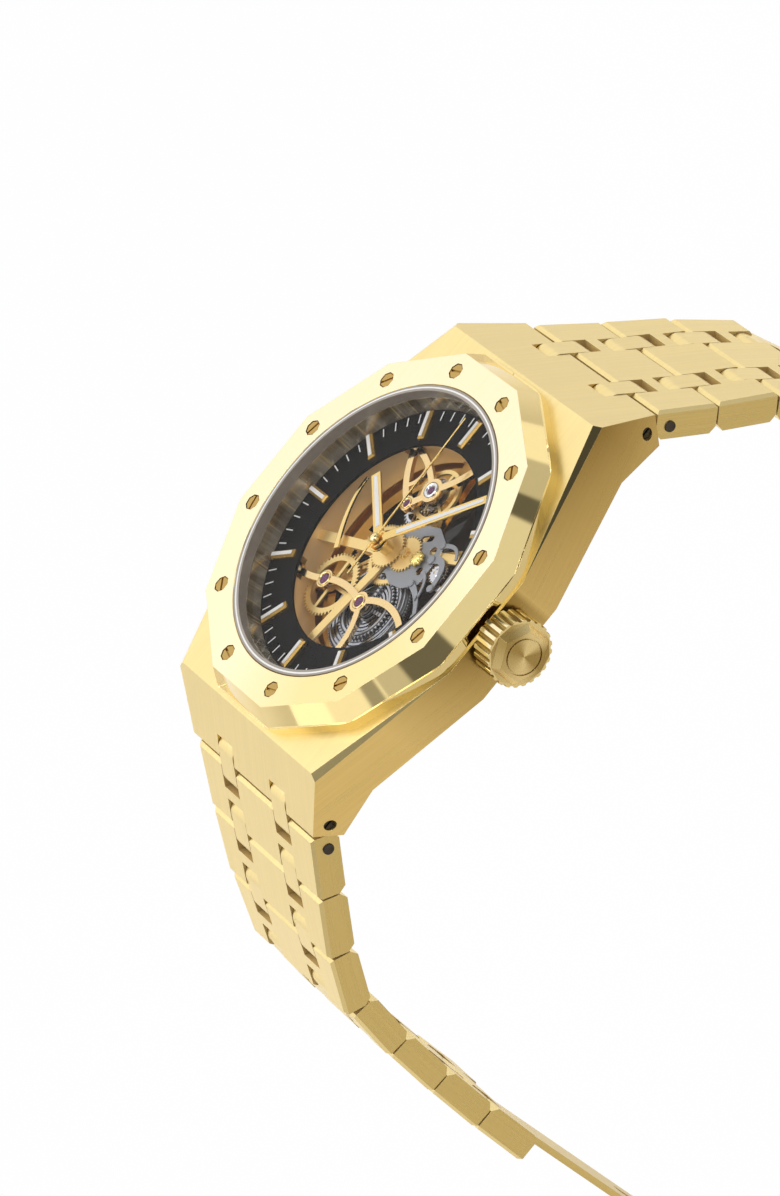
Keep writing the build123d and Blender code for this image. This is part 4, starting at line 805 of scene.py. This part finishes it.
def add_lathe(shape, centre, profile, count):
    """Solid of revolution about an upright axis; the profile's (radius, z) pairs may end at radius 0."""
    rings = []
    for radius, z in profile:
        outline = circle_outline(centre, radius, count) if radius else [(centre[0], centre[1])]
        rings.append(add_ring(shape, outline, z))
    for low, high in zip(rings, rings[1:]):
        if len(low) == len(high) and len(low) > 1:
            add_wall(shape, low, high)
            continue
        for k in range(count):
            j = (k + 1) % count
            shape.faces.new((low[0], high[j], high[k]) if len(low) == 1 else (low[k], low[j], high[0]))


def add_ribbon(shape, path, width, low, high):
    """Upright strip of rectangular section along a plan path."""
    left, right = edges_of(path, [width] * len(path))
    sections = []
    for pair in zip(right, left):
        sections.append([shape.verts.new((corner.x, corner.y, z)) for z in (low, high) for corner in pair])
    for a, b in zip(sections, sections[1:]):
        for i, j in ((0, 1), (1, 3), (3, 2), (2, 0)):
            shape.faces.new((a[i], a[j], b[j], b[i]))
    first, last = sections[0], sections[-1]
    shape.faces.new((first[0], first[2], first[3], first[1]))
    shape.faces.new((last[0], last[1], last[3], last[2]))


# ================================================================== dial and hands
def clock_angle(minutes):
    return math.radians(90 - 6 * minutes)


def build_minute_track(shape):
    for minute in range(60):
        if minute % 5:
            outline = bar_outline(clock_angle(minute), INDEX_OUT_R - TICK_L, INDEX_OUT_R, TICK_W, TICK_W)
            add_prism(shape, outline, DIAL_TOP - TICK_SINK, DIAL_TOP + TICK_PROUD)


def build_index_lume(shape):
    start, end = INDEX_OUT_R - INDEX_L + INDEX_LUME_RIM, INDEX_OUT_R - INDEX_LUME_RIM
    for hour in range(12):
        outline = bar_outline(clock_angle(5 * hour), start, end, INDEX_LUME_W, INDEX_LUME_W)
        add_prism(shape, outline, INDEX_TOP - INDEX_LUME_SINK, INDEX_TOP + INDEX_LUME_PROUD)


def hand_tip(node):
    """Direction and length of a hand, from the far end of its CAD bar."""
    corners = [v.co for v in NODES[node].data.vertices]
    reach = max(math.hypot(co.x, co.y) for co in corners)
    end = [co for co in corners if math.hypot(co.x, co.y) > reach - 0.05 * MM]
    return math.atan2(sum(co.y for co in end), sum(co.x for co in end)), reach


def hand_lume(node, width, start):
    """Builder of the luminous insert along a hand."""
    angle, reach = hand_tip(node)
    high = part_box(node)[1].z

    def build(shape):
        outline = bar_outline(angle, start, reach - HAND_LUME_RIM, width, width * HAND_LUME_TAPER)
        add_prism(shape, outline, high - HAND_LUME_SINK, high + HAND_LUME_PROUD)
    return build


def build_centre_cap(shape):
    """Low dome over the hands' axis; pairs of radius and height above the seconds hand."""
    dome = ((0, -0.05), (0.55, -0.05), (0.55, 0.1), (0.42, 0.24), (0.2, 0.3), (0, 0.31))
    add_lathe(shape, (0, 0), [(radius * MM, HANDS_TOP + lift * MM) for radius, lift in dome], 32)


def add_dial_pieces():
    piece("minute_track", build_minute_track, "case", "print")
    piece("index_lume", build_index_lume, "case", "lume", bevel=EDGE)
    hour = hand_lume("hour_hand", HOUR_LUME_W, HOUR_LUME_START)
    minute = hand_lume("minute_hand", MINUTE_LUME_W, MINUTE_LUME_START)
    piece("hour_hand_lume", hour, "hours", "lume", bevel=FINE_EDGE)
    piece("minute_hand_lume", minute, "minutes", "lume", bevel=FINE_EDGE)
    piece("centre_cap", build_centre_cap, "seconds", "gold_polish", smooth=True)


# ================================================================== movement
def coil(node, joint, radii, turns, width):
    """Builder of a flat spiral spring at a CAD spring's height."""
    low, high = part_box(node)

    def build(shape):
        add_ribbon(shape, spiral(pivot(joint), radii, turns), width, low.z, high.z)
    return build


def build_jewel_settings(shape):
    """Gilt collars round three jewels; pairs of reach beyond the jewel and height above the bridge."""
    collar = ((-0.06, -0.12), (0.2, -0.12), (0.2, 0.05), (0.08, 0.09), (-0.06, 0.0), (-0.06, -0.12))
    for joint, radius in (("barrel_turn", 0.62), ("reduction_turn", 0.62), ("escape_wheel_turn", 0.45)):
        profile = [((radius + out) * MM, BRIDGE_TOP + lift * MM) for out, lift in collar]
        add_lathe(shape, pivot(joint), profile, 40)


def build_balance_chaton(shape):
    """Wide bright setting round the balance's jewel; pairs of radius and height above the bridge."""
    collar = ((0.42, -0.1), (0.9, -0.1), (0.9, 0.1), (0.72, 0.16), (0.42, 0.04), (0.42, -0.1))
    profile = [(radius * MM, BRIDGE_TOP + lift * MM) for radius, lift in collar]
    add_lathe(shape, pivot("balance_swing"), profile, 48)


def build_setting_cap(shape):
    """Domed fluted setting pinion on a post, its rim over the minute wheel's edge."""
    low = KEYLESS_TOP + SETTING_CAP_LIFT
    post_top = low + 0.02 * MM
    post = ((0, KEYLESS_TOP), (SETTING_POST_R, KEYLESS_TOP), (SETTING_POST_R, post_top), (0, post_top))
    add_lathe(shape, SETTING_CAP_AT, post, 20)
    rings = []
    for share, lift in ((1.0, 0.0), (1.0, 0.16), (0.86, 0.3), (0.6, 0.38), (0.3, 0.42)):
        depth = SETTING_CAP_FLUTE_DEPTH * share
        outline = fluted_outline(SETTING_CAP_AT, SETTING_CAP_R * share, depth, SETTING_CAP_FLUTES)
        rings.append(add_ring(shape, outline, low + lift * MM))
    add_stack(shape, rings)


def build_levers(shape):
    """Setting lever, yoke and springs on the keyless plate, and their screw heads; numbers in millimetres."""
    low = KEYLESS_TOP + LEVER_LIFT
    for start, middle, end, wide, narrow in (
        ((6.2, 1.6), (8.9, 3.6), (9.4, -0.6), 0.95, 0.5),
        ((6.0, -1.2), (8.6, -1.6), (10.3, -4.0), 0.8, 0.42),
        ((6.3, 3.4), (8.6, 4.9), (9.6, 3.2), 0.55, 0.3),
        ((6.4, 0.3), (8.0, 0.5), (8.6, -2.4), 0.4, 0.25),
    ):
        outline = tapered_outline(curve(start, middle, end), wide * MM, narrow * MM)
        add_prism(shape, outline, low, low + LEVER_THICK)
    for x, y, size in ((6.5, 1.8, 0.48), (9.3, -0.5, 0.42), (6.3, -1.25, 0.42), (10.1, -3.7, 0.36),
                       (6.6, 3.55, 0.32)):
        radius, rim, top = size * MM, low + LEVER_SCREW_H, low + LEVER_SCREW_H + 0.04 * MM
        head = ((0, low), (radius, low), (radius, rim), (radius * 0.8, top), (0, top))
        add_lathe(shape, (x * MM, y * MM), head, 24)


def build_setting_wheel(shape):
    """Small steel setting wheel by the winding stem, with a turned hub."""
    centre, top = SETTING_WHEEL_AT, KEYLESS_TOP - 0.1 * MM
    outline = toothed_outline(centre, SETTING_WHEEL_ROOT_R, SETTING_WHEEL_TIP_R, SETTING_WHEEL_TEETH)
    add_prism(shape, outline, top - SETTING_WHEEL_THICK, top)
    hub = ((0, -0.12), (0.5, -0.12), (0.5, 0.02), (0.3, 0.06), (0, 0.06))
    add_lathe(shape, centre, [(radius * MM, KEYLESS_TOP + lift * MM) for radius, lift in hub], 24)


def build_bowl_spoke(shape):
    """Raised light rib that crosses the open space by 9 o'clock."""
    path = curve((-7.1, -3.1), (-10.6, 1.2), (-10.5, 4.4))
    high = MAIN_PLATE_TOP - SPOKE_DROP
    add_prism(shape, tapered_outline(path, SPOKE_WIDE, SPOKE_NARROW), high - SPOKE_THICK, high)


def add_movement_pieces():
    balance_coil = coil("hairspring", "balance_swing", HAIRSPRING_R, HAIRSPRING_TURNS, HAIRSPRING_W)
    barrel_coil = coil("mainspring", "barrel_turn", MAINSPRING_R, MAINSPRING_TURNS, MAINSPRING_W)
    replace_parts(piece("hairspring_coil", balance_coil, "balance", "spring"), "hairspring")
    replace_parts(piece("mainspring_coil", barrel_coil, "barrel", "spring"), "mainspring")
    piece("jewel_settings", build_jewel_settings, "case", "gilt_polish", smooth=True)
    piece("balance_chaton", build_balance_chaton, "case", "silver", smooth=True)
    piece("setting_cap", build_setting_cap, "case", "bright_gold", smooth=True)
    piece("setting_levers", build_levers, "case", "lever", bevel=EDGE)
    piece("setting_wheel", build_setting_wheel, "case", "steel_polish")
    piece("bowl_spoke", build_bowl_spoke, "case", "gilt_polish", bevel=EDGE)


# ================================================================== bracelet
def pin_sockets(tag, count=28):
    """Builder of the dark sockets at the ends of the pin that holds a first link on its studs; their dark is
    painted shade for the holes.
    """
    start, end = pivot(f"link_{tag}_1_hinge"), pivot(f"link_{tag}_2_hinge")
    centre = start + (end - start).normalized() * 2 * PIN_TO_GAP
    socket = ((0.0, -0.04), (0.42, -0.04), (0.46, 0.0), (0.52, 0.02), (0.58, 0.0), (0.6, -0.1))

    def build(shape):
        for side in (1, -1):
            rings = []
            for radius, lift in socket:
                x = side * (FIRST_LINK_SIDE + (0.01 + lift) * MM)
                outline = circle_outline((centre.y, centre.z), radius * MM, count) if radius else [centre.yz]
                rings.append([shape.verts.new((x, y, z)) for y, z in outline])
            for k in range(count):
                shape.faces.new((rings[0][0], rings[1][k], rings[1][(k + 1) % count]))
            for inner, outer in zip(rings[1:], rings[2:]):
                add_wall(shape, inner, outer)
    return build


def add_bracelet_pieces():
    for tag in ("12", "6"):
        piece(f"pin_sockets_{tag}", pin_sockets(tag), f"link_{tag}_1", "painted_pit_shade", smooth=True)


# ================================================================== stage
CAMERA_AIM = Vector((10.62, -3.66, 10.4)) * MM
CAMERA_DISTANCE = 662.3 * MM
CAMERA_TURN, CAMERA_DIP, CAMERA_ROLL = math.radians(179.817), math.radians(36.082), math.radians(50.87)
CAMERA_LENS, SENSOR = 205.44, 36.0      # millimetres, as cameras are described
FLOOR_HALF = 3.0
ROOM_LEVEL = 1.06


def floor_material(name, reflected, behind):
    """Pure pale to the camera, a calmer tone in reflections, and nothing at all from below."""
    s = Shader(name)
    x, y, z = s.axes()
    grain = s.noise(None, 30.0, 2.0)
    glow = s.node("ShaderNodeEmission")
    s.feed(glow.inputs[0], s.blend(grain, rgb(0.985, 0.985, 0.985), rgb(1.0, 1.0, 1.0)))
    matt = s.node("ShaderNodeBsdfDiffuse")
    s.feed(matt.inputs[0], s.blend(s.ease(x, 0.1, -0.15), reflected, behind))
    from_above = s.mix(s.node("ShaderNodeLightPath").outputs["Is Camera Ray"], matt, glow)
    nothing = s.node("ShaderNodeBsdfTransparent")
    return s.close(s.mix(s.node("ShaderNodeNewGeometry").outputs["Backfacing"], from_above, nothing))


def build_floor():
    mesh = bpy.data.meshes.new("floor")
    corners = [(x * FLOOR_HALF, y * FLOOR_HALF, FLOOR_Z) for x, y in ((-1, -1), (1, -1), (1, 1), (-1, 1))]
    mesh.from_pydata(corners, [], [(0, 1, 2, 3)])
    mesh.materials.append(floor_material("floor_pale", rgb(0.70, 0.66, 0.60), rgb(1.0, 0.98, 0.95)))
    floor = bpy.data.objects.new("floor", mesh)
    bpy.context.scene.collection.objects.link(floor)


class Sky(Shader):
    """The studio round the watch as a world.  Azimuth 0 is 3 o'clock's side and 90 is 12 o'clock's."""

    def __init__(self):
        self.world = bpy.data.worlds.new("studio")
        bpy.context.scene.world = self.world
        self.world.use_nodes = True
        self.tree = self.world.node_tree
        self.tree.nodes.clear()
        self.output = self.tree.nodes.new("ShaderNodeOutputWorld")
        split = self.node("ShaderNodeSeparateXYZ")
        self.tree.links.new(self.node("ShaderNodeTexCoord").outputs["Generated"], split.inputs[0])
        self.azimuth = self.math("ARCTAN2", split.outputs["Y"], split.outputs["X"])
        self.elevation = self.math("ARCSINE", split.outputs["Z"])

    def band(self, value, low, high, soft):
        """1 between low and high degrees, falling to 0 over soft degrees on both sides."""
        rise = self.ease(value, math.radians(low - soft), math.radians(low))
        fall = self.ease(value, math.radians(high + soft), math.radians(high))
        return self.math("MULTIPLY", rise, fall)

    def card(self, level, tone, azimuths, elevations, soft):
        """Lay a patch of one brightness over what is there."""
        across = self.band(self.azimuth, *azimuths, soft)
        where = self.math("MULTIPLY", across, self.band(self.elevation, *elevations, soft))
        mix = self.node("ShaderNodeMix", data_type="FLOAT")
        self.feed(mix.inputs[0], where)
        self.feed(mix.inputs[2], level)
        self.feed(mix.inputs[3], tone)
        return mix.outputs[0]

    def light(self, level):
        """Use a brightness as the world's light, a little warm."""
        background = self.node("ShaderNodeBackground")
        warm = self.node("ShaderNodeCombineColor")
        for socket, share in zip(warm.inputs, (1.0, 0.99, 0.97)):
            self.feed(socket, self.math("MULTIPLY", level, share))
        self.tree.links.new(warm.outputs[0], background.inputs[0])
        self.tree.links.new(background.outputs[0], self.output.inputs[0])


def build_world():
    """A bright room with darker cards that the bezel's facets and the flanks mirror."""
    sky = Sky()
    level = ROOM_LEVEL
    for tone, azimuths, elevations, soft in (
        (0.80, (-18.0, 55.0), (-5.0, 66.0), 5.0),       # calm wall on the crown's side
        (0.60, (71.0, 84.0), (-5.0, 60.0), 3.0),        # strips towards 12 o'clock and 6 o'clock
        (0.62, (-58.0, -44.0), (-5.0, 60.0), 2.0),
        (1.35, (-125.0, -90.0), (-5.0, 12.0), 4.0),     # low bright strip beyond 6 o'clock
        (0.16, (-42.0, -20.0), (-5.0, 60.0), 3.0),      # dark strips between the bezel's bright facets
        (0.38, (-68.0, -62.0), (-5.0, 60.0), 3.0),
        (0.14, (57.0, 68.0), (-5.0, 60.0), 3.0),
        (0.40, (98.0, 114.0), (14.0, 60.0), 6.0),       # soft strips beyond 12 o'clock and 6 o'clock
        (0.40, (-120.0, -112.0), (14.0, 60.0), 4.0),
        (0.50, (-181.0, 181.0), (66.0, 91.0), 6.0),     # ceiling
        (0.07, (35.0, 145.0), (58.0, 78.0), 5.0),       # dark cards overhead towards 12 o'clock and 6 o'clock
        (0.30, (-84.0, -76.0), (56.0, 80.0), 3.0),
    ):
        level = sky.card(level, tone, azimuths, elevations, soft)
    sky.light(level)


def towards(azimuth, elevation):
    return Vector((math.cos(elevation) * math.cos(azimuth), math.cos(elevation) * math.sin(azimuth),
                   math.sin(elevation)))


def add_softbox(name, azimuth, elevation, distance, size, power):
    """Square soft light that looks at the watch from a direction in degrees."""
    data = bpy.data.lights.new(name, "AREA")
    data.shape = "SQUARE"
    data.size = size
    data.energy = power
    lamp = bpy.data.objects.new(name, data)
    away = towards(math.radians(azimuth), math.radians(elevation))
    lamp.location = away * distance
    lamp.rotation_euler = away.to_track_quat("Z", "Y").to_euler()
    bpy.context.scene.collection.objects.link(lamp)


def add_camera():
    """Looks along -X and down, rolled so that 12 o'clock points up and to the right."""
    forward = towards(CAMERA_TURN, -CAMERA_DIP)
    level_right = forward.cross(Vector((0, 0, 1))).normalized()
    level_up = level_right.cross(forward)
    right = level_right * math.cos(CAMERA_ROLL) - level_up * math.sin(CAMERA_ROLL)
    up = level_right * math.sin(CAMERA_ROLL) + level_up * math.cos(CAMERA_ROLL)
    data = bpy.data.cameras.new("camera")
    data.lens = CAMERA_LENS
    data.sensor_width = SENSOR
    camera = bpy.data.objects.new("camera", data)
    turned = Matrix((right, up, -forward)).transposed().to_4x4()
    camera.matrix_world = Matrix.Translation(CAMERA_AIM - forward * CAMERA_DISTANCE) @ turned
    bpy.context.scene.collection.objects.link(camera)
    bpy.context.scene.camera = camera


dress_case()
dress_movement()
dress_bracelet()
add_dial_pieces()
add_movement_pieces()
add_bracelet_pieces()
build_floor()
build_world()
add_softbox("key_top", -150, 62, 0.9, 0.5, 1.6)
add_softbox("fill_front", 20, 72, 0.9, 0.3, 1.8)
add_camera()
bpy.context.scene.view_settings.view_transform = "Standard"
